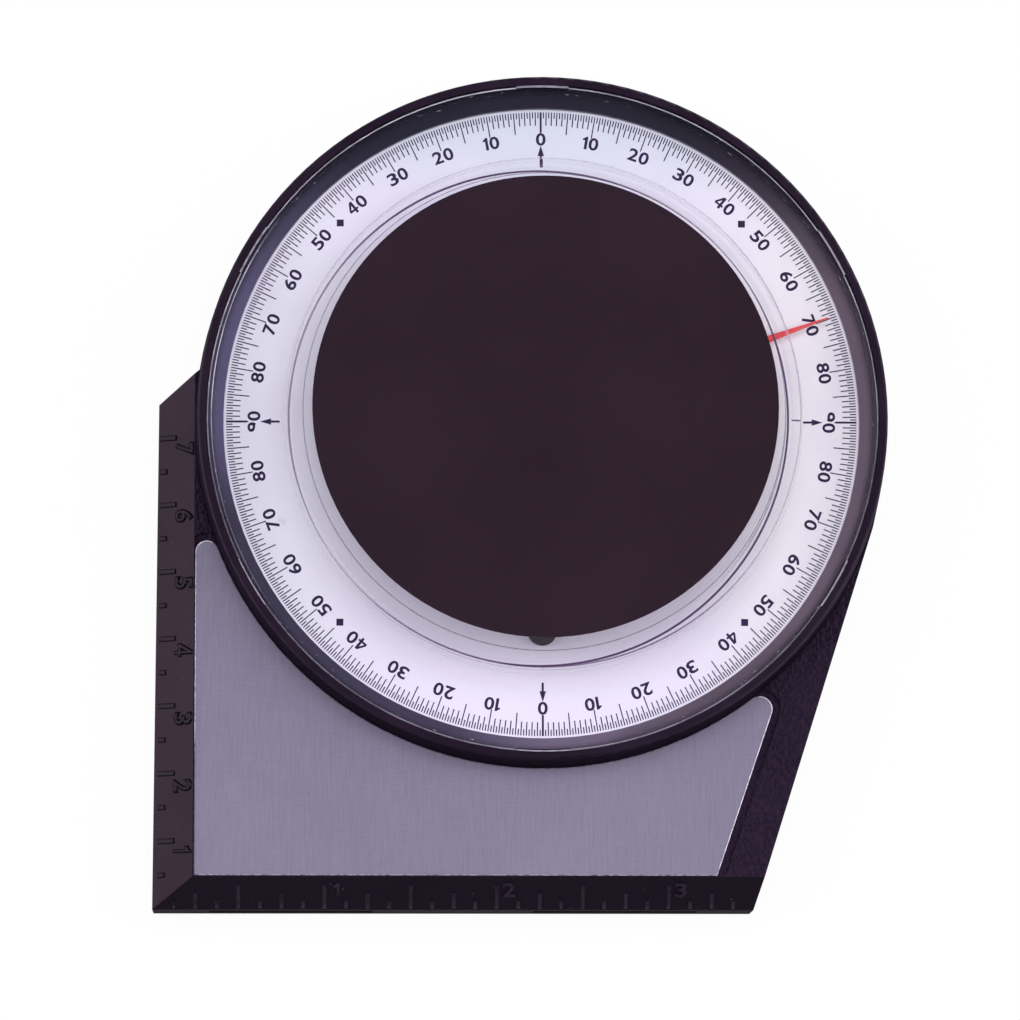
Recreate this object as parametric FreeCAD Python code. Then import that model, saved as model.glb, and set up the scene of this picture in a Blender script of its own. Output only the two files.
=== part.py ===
import FreeCAD, Part
import math
import os

# Magnetic angle finder, lying on its back. The origin is where the dial's axis
# meets the back plane, +Z looks out of the dial, +Y points at its top zero.
# Every length is in millimetres and every angle in degrees.

# Outline of the case: a round about the dial's axis, and a foot that stands out
# from it below and to the left. The right side stands just clear of the round,
# and a narrow flat leads from one to the other.
CASE_RADIUS = 51.45
FOOT_DROP = 20.87
FOOT_STANDOFF = 6.03
SIDE_SLANT = 17.55
SIDE_STANDOFF = 0.2
LEFT_LEAN = 0.44
SHOULDER_ABOVE_AXIS = 2.8
SHOULDER_SLOPE = 39.2

# Heights above the back plane.
PANEL_HEIGHT = 12.0
RIM_HEIGHT = 18.5
DRUM_HEIGHT = 28.3

# Ring around the dial.
RIM_DRAFT = 0.45
RIM_WIDTH = 1.2
RIM_ROUNDING = 0.4
DIAL_SEAT_DEPTH = 1.0

# Bevelled ruler edges and their moulded graduations.
LEFT_BEVEL_WIDTH = 5.95
BASE_BEVEL_WIDTH = 4.65
BEVEL_DROP = 3.5
INCH = 25.4
INCH_DIVISIONS = 8
INCH_TICK = 3.3
INCH_QUARTER_TICK = 2.2
INCH_EIGHTH_TICK = 1.15
HALF_CM = 5.0
CM_TICK = 2.55
HALF_CM_TICK = 1.15
CM_TICK_INSET = 0.74
TICK_WIDTH = 0.3
CM_TICK_WIDTH = 0.5
TICK_DRAFT = 0.16
TICK_RISE = 0.2
TICK_ROOT = 0.3
TICK_EDGE_GAP = 0.15
SCALE_END_GAP = 3.0

# Panel plate and the recess that it is stuck in.
PANEL_PLATE_THICKNESS = 0.25
PANEL_RECESS_DEPTH = 0.5
PANEL_RECESS_BORDER = 1.2
PANEL_RECESS_LIP = 0.1
PANEL_PLATE_MARGIN = 0.2
PANEL_PLATE_ARC_GAP = 0.2
PANEL_PLATE_SLANT = 18.85
PANEL_PLATE_SIDE_INSET = 5.25
LEFT_LOBE_RADIUS = 1.7
RIGHT_LOBE_RADIUS = 1.9

# Walls of the hollow case and the back cover let into it.
WALL = 2.2
ROOF_HEIGHT = 9.2
RAIL_DEPTH = 6.5
BEVEL_WALL = 5.3
COVER_THICKNESS = 1.8
COVER_LEDGE = 1.0
COVER_GAP = 0.15
RIB_THICKNESS = 1.4
RIB_CLEARANCE = 1.2
RIB_COUNT = 6
FOOT_RIB_COUNT = 3

# Cover screws, countersunk, in blind bosses.
SCREW_HEAD_RADIUS = 2.4
SCREW_SHANK_RADIUS = 1.2
SCREW_LENGTH = 7.2
SCREW_SUNK = 0.3
SCREW_BOSS_RADIUS = 3.5
SCREW_TIP_GAP = 0.5
SCREW_CLEARANCE = 0.05
SCREW_SLOT_WIDTH = 0.6
SCREW_SLOT_DEPTH = 0.5
UPPER_SCREW_INSET = 9.3
UPPER_SCREW_ANGLE = 40.0
FOOT_SCREW_LEFT_INSET = 11.0
FOOT_SCREW_RIGHT_INSET = 13.0
FOOT_SCREW_RAIL_GAP = 4.5

# Magnetic base: two blocks, each between two steel pole plates.
MAGNET_LENGTH = 24.0
MAGNET_THICKNESS = 3.6
MAGNET_DEPTH = 4.6
MAGNET_SPACING = 48.0
MAGNET_SUNK = 0.25
POLE_THICKNESS = 0.8
POCKET_GAP = 0.05

# Dial plate and the ring that holds its edge down.
DIAL_THICKNESS = 1.0
RETAINER_WIDTH = 2.4
RETAINER_HEIGHT = 3.5
RETAINER_LAND = 0.5
RETAINER_INNER_WALL = 0.9
RETAINER_SLOPE_RISE = 1.1
WELL_GAP = 0.1
DIAL_SCREW_INSET = 2.8
DIAL_SCREW_HEAD_RADIUS = 2.2
DIAL_SCREW_HEAD_HEIGHT = 0.9
DIAL_SCREW_SHANK_RADIUS = 1.0
DIAL_SCREW_LENGTH = 4.8
DIAL_BOSS_RADIUS = 2.8
DIAL_BOSS_LENGTH = 3.2

# Clear lens: a flat flange with a deep stepped drum over the movement.
FLANGE_THICKNESS = 2.0
FLANGE_CHAMFER = 0.15
STEP_RADIUS = 38.1
STEP_DRAFT = 0.2
LEDGE_SHARE = 0.49
LEDGE_WIDTH = 2.5
LEDGE_RISE = 0.7
DRUM_DRAFT = 0.5
DRUM_ROUNDING = 0.3
DRUM_WALL = 1.1
LENS_BEAD_COUNT = 6
LENS_BEAD_ARC = 9.0
LENS_BEAD_DEPTH = 0.45
LENS_BEAD_HEIGHT = 0.4

# Black centre cap stuck on the drum.
CAP_THICKNESS = 0.3
CAP_EDGE_GAP = 0.8

# Arbor and its two bearings.
ARBOR_RADIUS = 1.2
PIVOT_RADIUS = 0.75
PIVOT_CLEARANCE = 0.03
PRESS_GAP = 0.02
END_PLAY = 0.05
REAR_BUSH_RADIUS = 2.5
REAR_BUSH_LENGTH = 6.0
REAR_BUSH_STAND = 0.3
REAR_BOSS_RADIUS = 5.5
FRONT_BUSH_RADIUS = 2.2
FRONT_BUSH_LENGTH = 3.2
FRONT_BOSS_RADIUS = 4.5
FRONT_BOSS_LENGTH = 2.9
FRONT_BUSH_STAND = 0.2
PIVOT_END_GAP = 0.8
WASHER_RADIUS = 2.2
WASHER_THICKNESS = 0.4

# Stack carried by the arbor, from the dial outwards.
HUB_LIFT = 0.5
HUB_FLANGE_RADIUS = 3.6
HUB_FLANGE_THICKNESS = 0.7
HUB_BARREL_RADIUS = 2.2
NEEDLE_THICKNESS = 0.4
NEEDLE_EYE_RADIUS = 3.6
NEEDLE_TIP_GAP = 1.9
NEEDLE_ROOT_WIDTH = 3.4
NEEDLE_SHOW_GAP = 0.4
NEEDLE_SHOW_WIDTH = 1.15
NEEDLE_TIP_WIDTH = 0.15
NEEDLE_TAIL = 9.0
NEEDLE_TAIL_WIDTH = 3.0
SPACER_RADIUS = 3.2
SPACER_LENGTH = 1.2
ARM_THICKNESS = 0.8
ARM_EYE_RADIUS = 5.5
ARM_WAIST = 7.0
COLLAR_RADIUS = 3.4
COLLAR_LENGTH = 1.2
WEIGHT_HEADROOM = 4.45
WEIGHT_INNER_RADIUS = 13.0
WEIGHT_OUTER_RADIUS = 28.0
WEIGHT_HALF_ANGLE = 48.0
RIVET_RADIUS = 1.2
RIVET_HEAD_RADIUS = 2.1
RIVET_HEAD_HEIGHT = 0.6
RIVET_HALF_ANGLE = 26.0

# The pointer as photographed: 70 degrees from the top zero, to the right.
POINTER_READING = 70.0

LEFT_END = -CASE_RADIUS - FOOT_STANDOFF
BASE = -CASE_RADIUS - FOOT_DROP
RIM_RADIUS = CASE_RADIUS - RIM_DRAFT
WELL_RADIUS = RIM_RADIUS - RIM_WIDTH
SEATED_RADIUS = WELL_RADIUS - WELL_GAP
DIAL_VISIBLE_RADIUS = SEATED_RADIUS - RETAINER_WIDTH
DIAL_SEAT = PANEL_HEIGHT - DIAL_SEAT_DEPTH
DIAL_FACE = DIAL_SEAT + DIAL_THICKNESS
LENS_SEAT = DIAL_FACE + RETAINER_HEIGHT
FLANGE_TOP = LENS_SEAT + FLANGE_THICKNESS
DRUM_CEILING = DRUM_HEIGHT - DRUM_WALL
LEFT_RIDGE = LEFT_END + LEFT_BEVEL_WIDTH
BASE_RIDGE = BASE + BASE_BEVEL_WIDTH
PANEL_FLOOR = PANEL_HEIGHT - PANEL_RECESS_DEPTH
BASE_FACE_HEIGHT = PANEL_HEIGHT - BEVEL_DROP
SCREW_TOP = SCREW_SUNK + SCREW_LENGTH
LEDGE_RADIUS = STEP_RADIUS - STEP_DRAFT
LEDGE_HEIGHT = FLANGE_TOP + LEDGE_SHARE * (DRUM_HEIGHT - FLANGE_TOP)
DRUM_BASE_RADIUS = LEDGE_RADIUS - LEDGE_WIDTH
DRUM_TOP_RADIUS = DRUM_BASE_RADIUS - DRUM_DRAFT
CAP_RADIUS = DRUM_TOP_RADIUS - CAP_EDGE_GAP
DIAL_SCREW_CIRCLE = CAP_RADIUS - DIAL_SCREW_INSET

REAR_BUSH_TOP = DIAL_FACE + REAR_BUSH_STAND
REAR_BUSH_BOTTOM = REAR_BUSH_TOP - REAR_BUSH_LENGTH
ARBOR_BOTTOM = REAR_BUSH_TOP + WASHER_THICKNESS + END_PLAY
FRONT_BOSS_BOTTOM = DRUM_CEILING - FRONT_BOSS_LENGTH
FRONT_BUSH_BOTTOM = FRONT_BOSS_BOTTOM - FRONT_BUSH_STAND
ARBOR_TOP = FRONT_BUSH_BOTTOM - WASHER_THICKNESS - END_PLAY
HUB_BOTTOM = ARBOR_BOTTOM + HUB_LIFT
NEEDLE_BOTTOM = HUB_BOTTOM + HUB_FLANGE_THICKNESS
SPACER_BOTTOM = NEEDLE_BOTTOM + NEEDLE_THICKNESS
ARM_BOTTOM = SPACER_BOTTOM + SPACER_LENGTH
ARM_TOP = ARM_BOTTOM + ARM_THICKNESS
COLLAR_TOP = ARM_TOP + COLLAR_LENGTH
WEIGHT_TOP = DRUM_CEILING - WEIGHT_HEADROOM
NEEDLE_SHOW_RADIUS = CAP_RADIUS + NEEDLE_SHOW_GAP
NEEDLE_TIP_RADIUS = DIAL_VISIBLE_RADIUS - NEEDLE_TIP_GAP
RIVET_CIRCLE = (WEIGHT_INNER_RADIUS + WEIGHT_OUTER_RADIUS) / 2


def vector(x, y, z=0.0):
    return FreeCAD.Vector(x, y, z)


def polar(radius, angle):
    """Point in plan at an angle measured from +X."""
    turn = math.radians(angle)
    return radius * math.cos(turn), radius * math.sin(turn)


def disc(radius, bottom, top, x=0.0, y=0.0):
    return Part.makeCylinder(radius, top - bottom, vector(x, y, bottom))


def tube(inner, outer, bottom, top, x=0.0, y=0.0):
    return disc(outer, bottom, top, x, y).cut(disc(inner, bottom, top, x, y))


def box(left, right, front, back, bottom, top):
    return Part.makeBox(right - left, back - front, top - bottom, vector(left, front, bottom))


def prism(points, bottom, top):
    """Upright prism over a closed outline of (x, y) points."""
    loop = [vector(x, y, bottom) for x, y in points]
    face = Part.Face(Part.makePolygon(loop + loop[:1]))
    return face.extrude(vector(0, 0, top - bottom))


def turned(points):
    """Solid of revolution about the dial's axis from (radius, height) points."""
    loop = [vector(radius, 0, height) for radius, height in points]
    face = Part.Face(Part.makePolygon(loop + loop[:1]))
    return face.revolve(vector(0, 0), vector(0, 0, 1), 360)


def line_through(x, y, normal_angle):
    """A straight edge as its outward normal and its distance from the axis."""
    nx, ny = polar(1.0, normal_angle)
    return nx, ny, nx * x + ny * y


def meet(first, second):
    """Point where two straight edges cross."""
    ax, ay, a = first
    bx, by, b = second
    spread = ax * by - ay * bx
    return (a * by - ay * b) / spread, (ax * b - a * bx) / spread


def moved_in(edge, inset):
    nx, ny, distance = edge
    return nx, ny, distance - inset


LEFT_EDGE = line_through(LEFT_END, BASE, 180.0 - LEFT_LEAN)
BASE_EDGE = line_through(LEFT_END, BASE, -90.0)
SIDE_EDGE = line_through(*polar(CASE_RADIUS + SIDE_STANDOFF, -SIDE_SLANT), -SIDE_SLANT)
SHOULDER_CORNER = meet(LEFT_EDGE, line_through(0.0, SHOULDER_ABOVE_AXIS, 90.0))
SHOULDER_EDGE = line_through(*SHOULDER_CORNER, 90.0 + SHOULDER_SLOPE)
BASE_RIGHT_END = meet(BASE_EDGE, SIDE_EDGE)[0]
BASE_MIDDLE = (LEFT_END + BASE_RIGHT_END) / 2


def foot_plan(left_inset, base_inset, side_inset):
    """Corners of the foot, each straight edge moved in by its own amount."""
    left = moved_in(LEFT_EDGE, left_inset)
    base = moved_in(BASE_EDGE, base_inset)
    side = moved_in(SIDE_EDGE, side_inset)
    shoulder = moved_in(SHOULDER_EDGE, side_inset)
    radius = CASE_RADIUS - side_inset
    nx, ny, distance = shoulder
    reach = math.sqrt(radius ** 2 - distance ** 2)
    shoulder_end = (nx * distance + ny * reach, ny * distance - nx * reach)
    side_end = polar(radius + SIDE_STANDOFF, -SIDE_SLANT)
    flat = math.degrees(math.acos(radius / (radius + SIDE_STANDOFF)))
    round_end = polar(radius, flat - SIDE_SLANT)
    lower = [meet(left, base), meet(base, side), side_end, round_end]
    return lower + [(0.0, 0.0), shoulder_end, meet(left, shoulder)]


def case_form(left_inset, base_inset, side_inset, bottom, top):
    """The case's plan, foot and round together, as an upright solid."""
    foot = prism(foot_plan(left_inset, base_inset, side_inset), bottom, top)
    return foot.fuse(disc(CASE_RADIUS - side_inset, bottom, top)).removeSplitter()


def bevel_wedges():
    """What the two ruler bevels take off the foot's upper edges."""
    span = 4 * CASE_RADIUS
    over = 2.0
    wedges = []
    for width in (LEFT_BEVEL_WIDTH, BASE_BEVEL_WIDTH):
        slope = BEVEL_DROP / width
        reach = width + over
        outline = [(0, 0), (-reach, -reach * slope), (-reach, over), (0, over)]
        loop = [vector(run, 0, rise) for run, rise in outline]
        face = Part.Face(Part.makePolygon(loop + loop[:1]))
        wedges.append(face.extrude(vector(0, span, 0)))
    left, base = wedges
    left.translate(vector(LEFT_RIDGE, -span / 2, PANEL_HEIGHT))
    base.rotate(vector(0, 0), vector(0, 0, 1), 90)
    base.translate(vector(span / 2, BASE_RIDGE, PANEL_HEIGHT))
    return left.fuse(base)


def lobe_centre(radius, edge, downward):
    """Centre of a lobe that touches one straight edge and the plate's arc."""
    nx, ny, distance = moved_in(edge, radius)
    reach = math.sqrt((CASE_RADIUS + PANEL_PLATE_ARC_GAP + radius) ** 2 - distance ** 2)
    return nx * distance + downward * ny * reach, ny * distance - downward * nx * reach


def panel_plate_form(grow, bottom, top):
    """The panel plate's outline, two lobes and an arc round the ring, grown all round."""
    left_edge = line_through(LEFT_RIDGE + PANEL_PLATE_MARGIN, BASE, 180.0)
    base_edge = line_through(0.0, BASE_RIDGE + PANEL_PLATE_MARGIN, -90.0)
    side_x, side_y = polar(CASE_RADIUS - PANEL_PLATE_SIDE_INSET, -PANEL_PLATE_SLANT)
    side_edge = line_through(side_x, side_y, -PANEL_PLATE_SLANT)
    left_centre = lobe_centre(LEFT_LOBE_RADIUS, left_edge, -1)
    right_centre = lobe_centre(RIGHT_LOBE_RADIUS, side_edge, 1)
    arc_radius = CASE_RADIUS + PANEL_PLATE_ARC_GAP - grow
    grown = [moved_in(edge, -grow) for edge in (left_edge, base_edge, side_edge)]
    corner = meet(grown[0], grown[1])
    heel = meet(grown[1], grown[2])

    def on_lobe(centre, radius, angle):
        x, y = polar(radius + grow, angle)
        return vector(centre[0] + x, centre[1] + y, bottom)

    def facing_axis(centre):
        return math.degrees(math.atan2(-centre[1], -centre[0]))

    def arc_point(angle):
        return vector(*polar(arc_radius, angle), bottom)

    left_turn = facing_axis(left_centre)
    right_turn = facing_axis(right_centre)
    left_start = on_lobe(left_centre, LEFT_LOBE_RADIUS, 180.0)
    left_end = arc_point(left_turn - 180.0)
    right_start = arc_point(right_turn - 180.0)
    right_end = on_lobe(right_centre, RIGHT_LOBE_RADIUS, -PANEL_PLATE_SLANT)
    left_middle = on_lobe(left_centre, LEFT_LOBE_RADIUS, (180.0 + left_turn) / 2)
    right_middle = on_lobe(right_centre, RIGHT_LOBE_RADIUS, (right_turn - PANEL_PLATE_SLANT) / 2)
    edges = [
        Part.LineSegment(vector(*corner, bottom), left_start),
        Part.Arc(left_start, left_middle, left_end),
        Part.Arc(left_end, arc_point((left_turn + right_turn) / 2 - 180.0), right_start),
        Part.Arc(right_start, right_middle, right_end),
        Part.LineSegment(right_end, vector(*heel, bottom)),
        Part.LineSegment(vector(*heel, bottom), vector(*corner, bottom)),
    ]
    outline = Part.Wire([edge.toShape() for edge in edges])
    return Part.Face(outline).extrude(vector(0, 0, top - bottom))


def tick(length, width, bevel_width):
    """One raised graduation on a bevel that falls towards -X, its root sunk in.

    Its walls lean in by the draft, and width is that of its flat top.
    """
    slope = math.atan2(BEVEL_DROP, bevel_width)
    run = length / math.cos(slope)
    half = width / 2
    foot = half + TICK_DRAFT
    root = box(0.0, run, -foot, foot, -TICK_ROOT, 0.0)
    top = Part.makeWedge(
        0.0, 0.0, -foot, -half, TICK_DRAFT, run, TICK_RISE, foot, half, run - TICK_DRAFT)
    top.rotate(vector(0, 0), vector(1, 0, 0), 90)
    bar = root.fuse(top)
    bar.rotate(vector(0, 0), vector(0, -1, 0), math.degrees(slope))
    return bar


def inch_tick_length(step):
    if step % (INCH_DIVISIONS // 2) == 0:
        return INCH_TICK
    if step % (INCH_DIVISIONS // 4) == 0:
        return INCH_QUARTER_TICK
    return INCH_EIGHTH_TICK


def steps_along(length, pitch):
    """How many graduations fit on an edge, with its far end kept clear."""
    return range(1, int((length - SCALE_END_GAP) / pitch) + 1)


def inch_graduations():
    """Eighth-inch graduations along the base bevel, counted from the left end."""
    bars = []
    fall = BEVEL_DROP / BASE_BEVEL_WIDTH
    pitch = INCH / INCH_DIVISIONS
    for step in steps_along(BASE_RIGHT_END - LEFT_END, pitch):
        bar = tick(inch_tick_length(step), TICK_WIDTH, BASE_BEVEL_WIDTH)
        bar.rotate(vector(0, 0), vector(0, 0, 1), 90)
        height = PANEL_HEIGHT - BEVEL_DROP + TICK_EDGE_GAP * fall
        bar.translate(vector(LEFT_END + step * pitch, BASE + TICK_EDGE_GAP, height))
        bars.append(bar)
    return bars


def cm_graduations():
    """Half-centimetre graduations up the left bevel, counted from the base."""
    bars = []
    fall = BEVEL_DROP / LEFT_BEVEL_WIDTH
    for step in steps_along(SHOULDER_ABOVE_AXIS - BASE, HALF_CM):
        length = CM_TICK if step % 2 == 0 else HALF_CM_TICK
        bar = tick(length, CM_TICK_WIDTH, LEFT_BEVEL_WIDTH)
        start = LEFT_END + CM_TICK_INSET
        height = PANEL_HEIGHT - (LEFT_RIDGE - start) * fall
        bar.translate(vector(start, BASE + step * HALF_CM, height))
        bars.append(bar)
    return bars


def cover_screw_places():
    foot_line = BASE + RAIL_DEPTH + FOOT_SCREW_RAIL_GAP
    upper_circle = CASE_RADIUS - UPPER_SCREW_INSET
    return [
        polar(upper_circle, UPPER_SCREW_ANGLE),
        polar(upper_circle, 180.0 - UPPER_SCREW_ANGLE),
        (LEFT_END + FOOT_SCREW_LEFT_INSET, foot_line),
        (BASE_RIGHT_END - FOOT_SCREW_RIGHT_INSET, foot_line),
    ]


def dial_screw_places():
    return [polar(DIAL_SCREW_CIRCLE, angle) for angle in (90.0, -90.0)]


def magnet_middles():
    return [BASE_MIDDLE - MAGNET_SPACING / 2, BASE_MIDDLE + MAGNET_SPACING / 2]


def case_hollow():
    """The space behind the panel and the dial seat, with the cover's rebate."""
    hollow = case_form(BEVEL_WALL, RAIL_DEPTH, WALL, 0.0, ROOF_HEIGHT)
    ledge = COVER_LEDGE
    rebate = case_form(BEVEL_WALL - ledge, RAIL_DEPTH - ledge, WALL - ledge, 0.0, COVER_THICKNESS)
    return hollow.fuse(rebate)


def case_ribs():
    """Stiffening ribs under the dial seat and across the foot."""
    half = RIB_THICKNESS / 2
    bottom = COVER_THICKNESS + RIB_CLEARANCE
    ribs = []
    for index in range(RIB_COUNT):
        rib = box(0.0, CASE_RADIUS - WALL / 2, -half, half, bottom, ROOF_HEIGHT + half)
        rib.rotate(vector(0, 0), vector(0, 0, 1), index * 360.0 / RIB_COUNT)
        ribs.append(rib)
    rail = BASE + RAIL_DEPTH
    span = BASE_RIGHT_END - LEFT_END
    for index in range(1, FOOT_RIB_COUNT + 1):
        x = LEFT_END + span * index / (FOOT_RIB_COUNT + 1)
        top_y = -math.sqrt(max((CASE_RADIUS - WALL) ** 2 - x ** 2, 0.0))
        ribs.append(box(x - half, x + half, rail - half, top_y, bottom, ROOF_HEIGHT + half))
    return ribs


def ring_wall():
    """Drafted wall that stands round the dial, rounded at its lip."""
    wall = turned([
        (0, 0),
        (CASE_RADIUS, 0),
        (CASE_RADIUS, PANEL_HEIGHT),
        (RIM_RADIUS, RIM_HEIGHT),
        (0, RIM_HEIGHT),
    ])
    lip = [edge for edge in wall.Edges if edge.BoundBox.ZMin > RIM_HEIGHT - RIM_ROUNDING / 2]
    return wall.makeFillet(RIM_ROUNDING, lip)


def lens_beads():
    """Snap beads inside the rim that keep the lens down."""
    bottom = FLANGE_TOP
    middle = bottom + LENS_BEAD_HEIGHT
    bead_ring = turned([
        (WELL_RADIUS - LENS_BEAD_DEPTH, bottom),
        (WELL_RADIUS + RIM_WIDTH / 2, bottom),
        (WELL_RADIUS + RIM_WIDTH / 2, middle),
        (WELL_RADIUS, middle),
    ])
    beads = []
    for index in range(LENS_BEAD_COUNT):
        middle_angle = 90.0 + index * 360.0 / LENS_BEAD_COUNT
        sides = [middle_angle - LENS_BEAD_ARC / 2, middle_angle + LENS_BEAD_ARC / 2]
        sector = [(0.0, 0.0)] + [polar(2 * CASE_RADIUS, angle) for angle in sides]
        beads.append(bead_ring.common(prism(sector, bottom, middle)))
    return beads


def panel_recess():
    """The recess round the panel plate, wider than it except along the two ridges."""
    top = PANEL_HEIGHT + 1.0
    wide = panel_plate_form(PANEL_RECESS_BORDER, PANEL_FLOOR, top)
    left = LEFT_RIDGE + PANEL_RECESS_LIP
    front = BASE_RIDGE + PANEL_RECESS_LIP
    return wide.common(box(left, CASE_RADIUS, front, CASE_RADIUS, PANEL_FLOOR, top))


def front_housing():
    """The moulded case: foot, bevels, panel recess, ring, hollow back and bosses."""
    foot = prism(foot_plan(0.0, 0.0, 0.0), 0.0, PANEL_HEIGHT).cut(bevel_wedges())
    foot = foot.cut(panel_recess())
    case = foot.multiFuse([ring_wall()] + inch_graduations() + cm_graduations())
    case = case.cut(disc(WELL_RADIUS, DIAL_SEAT, RIM_HEIGHT + 1.0))
    case = case.cut(case_hollow())
    inside = case_form(BEVEL_WALL / 2, RAIL_DEPTH / 2, WALL / 2, 0.0, ROOF_HEIGHT + RIB_THICKNESS / 2)
    added = [rib.common(inside) for rib in case_ribs()]
    added.append(disc(REAR_BOSS_RADIUS, COVER_THICKNESS + COVER_GAP, DIAL_SEAT))
    for x, y in cover_screw_places():
        added.append(disc(SCREW_BOSS_RADIUS, COVER_THICKNESS, ROOF_HEIGHT + SCREW_TIP_GAP, x, y))
    for x, y in dial_screw_places():
        added.append(disc(DIAL_BOSS_RADIUS, ROOF_HEIGHT - DIAL_BOSS_LENGTH, DIAL_SEAT, x, y))
    case = case.multiFuse(added + lens_beads())
    holes = [disc(REAR_BUSH_RADIUS + PRESS_GAP, REAR_BUSH_BOTTOM, DIAL_FACE)]
    for x, y in cover_screw_places():
        pilot = SCREW_SHANK_RADIUS + SCREW_CLEARANCE
        holes.append(disc(pilot, 0.0, SCREW_TOP + SCREW_TIP_GAP, x, y))
    for x, y in dial_screw_places():
        pilot = DIAL_SCREW_SHANK_RADIUS + SCREW_CLEARANCE
        holes.append(disc(pilot, DIAL_FACE - DIAL_SCREW_LENGTH - SCREW_TIP_GAP / 2, DIAL_FACE, x, y))
    for middle in magnet_middles():
        holes.append(magnet_pocket(middle))
    return case.cut(holes[0].multiFuse(holes[1:])).removeSplitter()


def magnet_band():
    """Lower and upper face of a magnet in the base, centred on the base's width."""
    middle = BASE_FACE_HEIGHT / 2
    return middle - MAGNET_THICKNESS / 2, middle + MAGNET_THICKNESS / 2


def magnet_pocket(middle):
    half = MAGNET_LENGTH / 2 + POCKET_GAP
    lower, upper = magnet_band()
    spare = POLE_THICKNESS + 2 * POCKET_GAP
    depth = BASE + MAGNET_SUNK + MAGNET_DEPTH + POCKET_GAP
    return box(middle - half, middle + half, BASE - 1.0, depth, lower - spare, upper + spare)


def base_magnets():
    half = MAGNET_LENGTH / 2
    lower, upper = magnet_band()
    front = BASE + MAGNET_SUNK
    return [box(x - half, x + half, front, front + MAGNET_DEPTH, lower, upper) for x in magnet_middles()]


def pole_plates():
    half = MAGNET_LENGTH / 2
    lower, upper = magnet_band()
    back = BASE + MAGNET_SUNK + MAGNET_DEPTH
    plates = []
    for x in magnet_middles():
        for bottom in (lower - POLE_THICKNESS - POCKET_GAP, upper + POCKET_GAP):
            plates.append(box(x - half, x + half, BASE, back, bottom, bottom + POLE_THICKNESS))
    return plates


def back_cover():
    """Flat cover let into the back, countersunk for its screws."""
    ledge = COVER_LEDGE - COVER_GAP
    cover = case_form(BEVEL_WALL - ledge, RAIL_DEPTH - ledge, WALL - ledge, 0.0, COVER_THICKNESS)
    for x, y in cover_screw_places():
        cover = cover.cut(disc(SCREW_SHANK_RADIUS + 2 * SCREW_CLEARANCE, 0.0, COVER_THICKNESS, x, y))
        cover = cover.cut(countersink(SCREW_CLEARANCE, 0.0, x, y))
    return cover


def countersink(clearance, bottom, x, y):
    """Cone of a countersunk head, with the short bore that sinks it."""
    wide = SCREW_HEAD_RADIUS + clearance
    narrow = SCREW_SHANK_RADIUS + clearance
    height = SCREW_HEAD_RADIUS - SCREW_SHANK_RADIUS
    cone = Part.makeCone(wide, narrow, height, vector(x, y, SCREW_SUNK))
    if bottom < SCREW_SUNK:
        cone = cone.fuse(disc(wide, bottom, SCREW_SUNK, x, y))
    return cone


def cover_screws():
    screws = []
    for x, y in cover_screw_places():
        shank = disc(SCREW_SHANK_RADIUS, SCREW_SUNK, SCREW_TOP, x, y)
        screw = countersink(0.0, SCREW_SUNK, x, y).fuse(shank)
        slot_reach = SCREW_HEAD_RADIUS + 1.0
        half = SCREW_SLOT_WIDTH / 2
        slot_top = SCREW_SUNK + SCREW_SLOT_DEPTH
        slot = box(x - slot_reach, x + slot_reach, y - half, y + half, 0.0, slot_top)
        screws.append(screw.cut(slot).removeSplitter())
    return screws


def dial_plate():
    plate = disc(SEATED_RADIUS, DIAL_SEAT, DIAL_FACE)
    plate = plate.cut(disc(REAR_BUSH_RADIUS + WELL_GAP, DIAL_SEAT, DIAL_FACE))
    for x, y in dial_screw_places():
        plate = plate.cut(disc(DIAL_SCREW_SHANK_RADIUS + WELL_GAP, DIAL_SEAT, DIAL_FACE, x, y))
    return plate


def dial_retaining_ring():
    """Ring that clamps the dial's edge: it slopes up from the dial to a narrow land."""
    land = SEATED_RADIUS - RETAINER_LAND
    slope_foot = DIAL_FACE + RETAINER_INNER_WALL
    return turned([
        (DIAL_VISIBLE_RADIUS, DIAL_FACE),
        (SEATED_RADIUS, DIAL_FACE),
        (SEATED_RADIUS, LENS_SEAT),
        (land, LENS_SEAT),
        (land, slope_foot + RETAINER_SLOPE_RISE),
        (DIAL_VISIBLE_RADIUS, slope_foot),
    ])


def dial_screws():
    screws = []
    for x, y in dial_screw_places():
        head_top = DIAL_FACE + DIAL_SCREW_HEAD_HEIGHT
        head = disc(DIAL_SCREW_HEAD_RADIUS, DIAL_FACE, head_top, x, y)
        shank = disc(DIAL_SCREW_SHANK_RADIUS, DIAL_FACE - DIAL_SCREW_LENGTH, DIAL_FACE, x, y)
        half = SCREW_SLOT_WIDTH / 2
        slot_bottom = head_top - DIAL_SCREW_HEAD_HEIGHT / 2
        slot = box(x - DIAL_SCREW_HEAD_RADIUS, x + DIAL_SCREW_HEAD_RADIUS, y - half, y + half,
                   slot_bottom, head_top)
        screws.append(head.fuse(shank).cut(slot).removeSplitter())
    return screws


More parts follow.
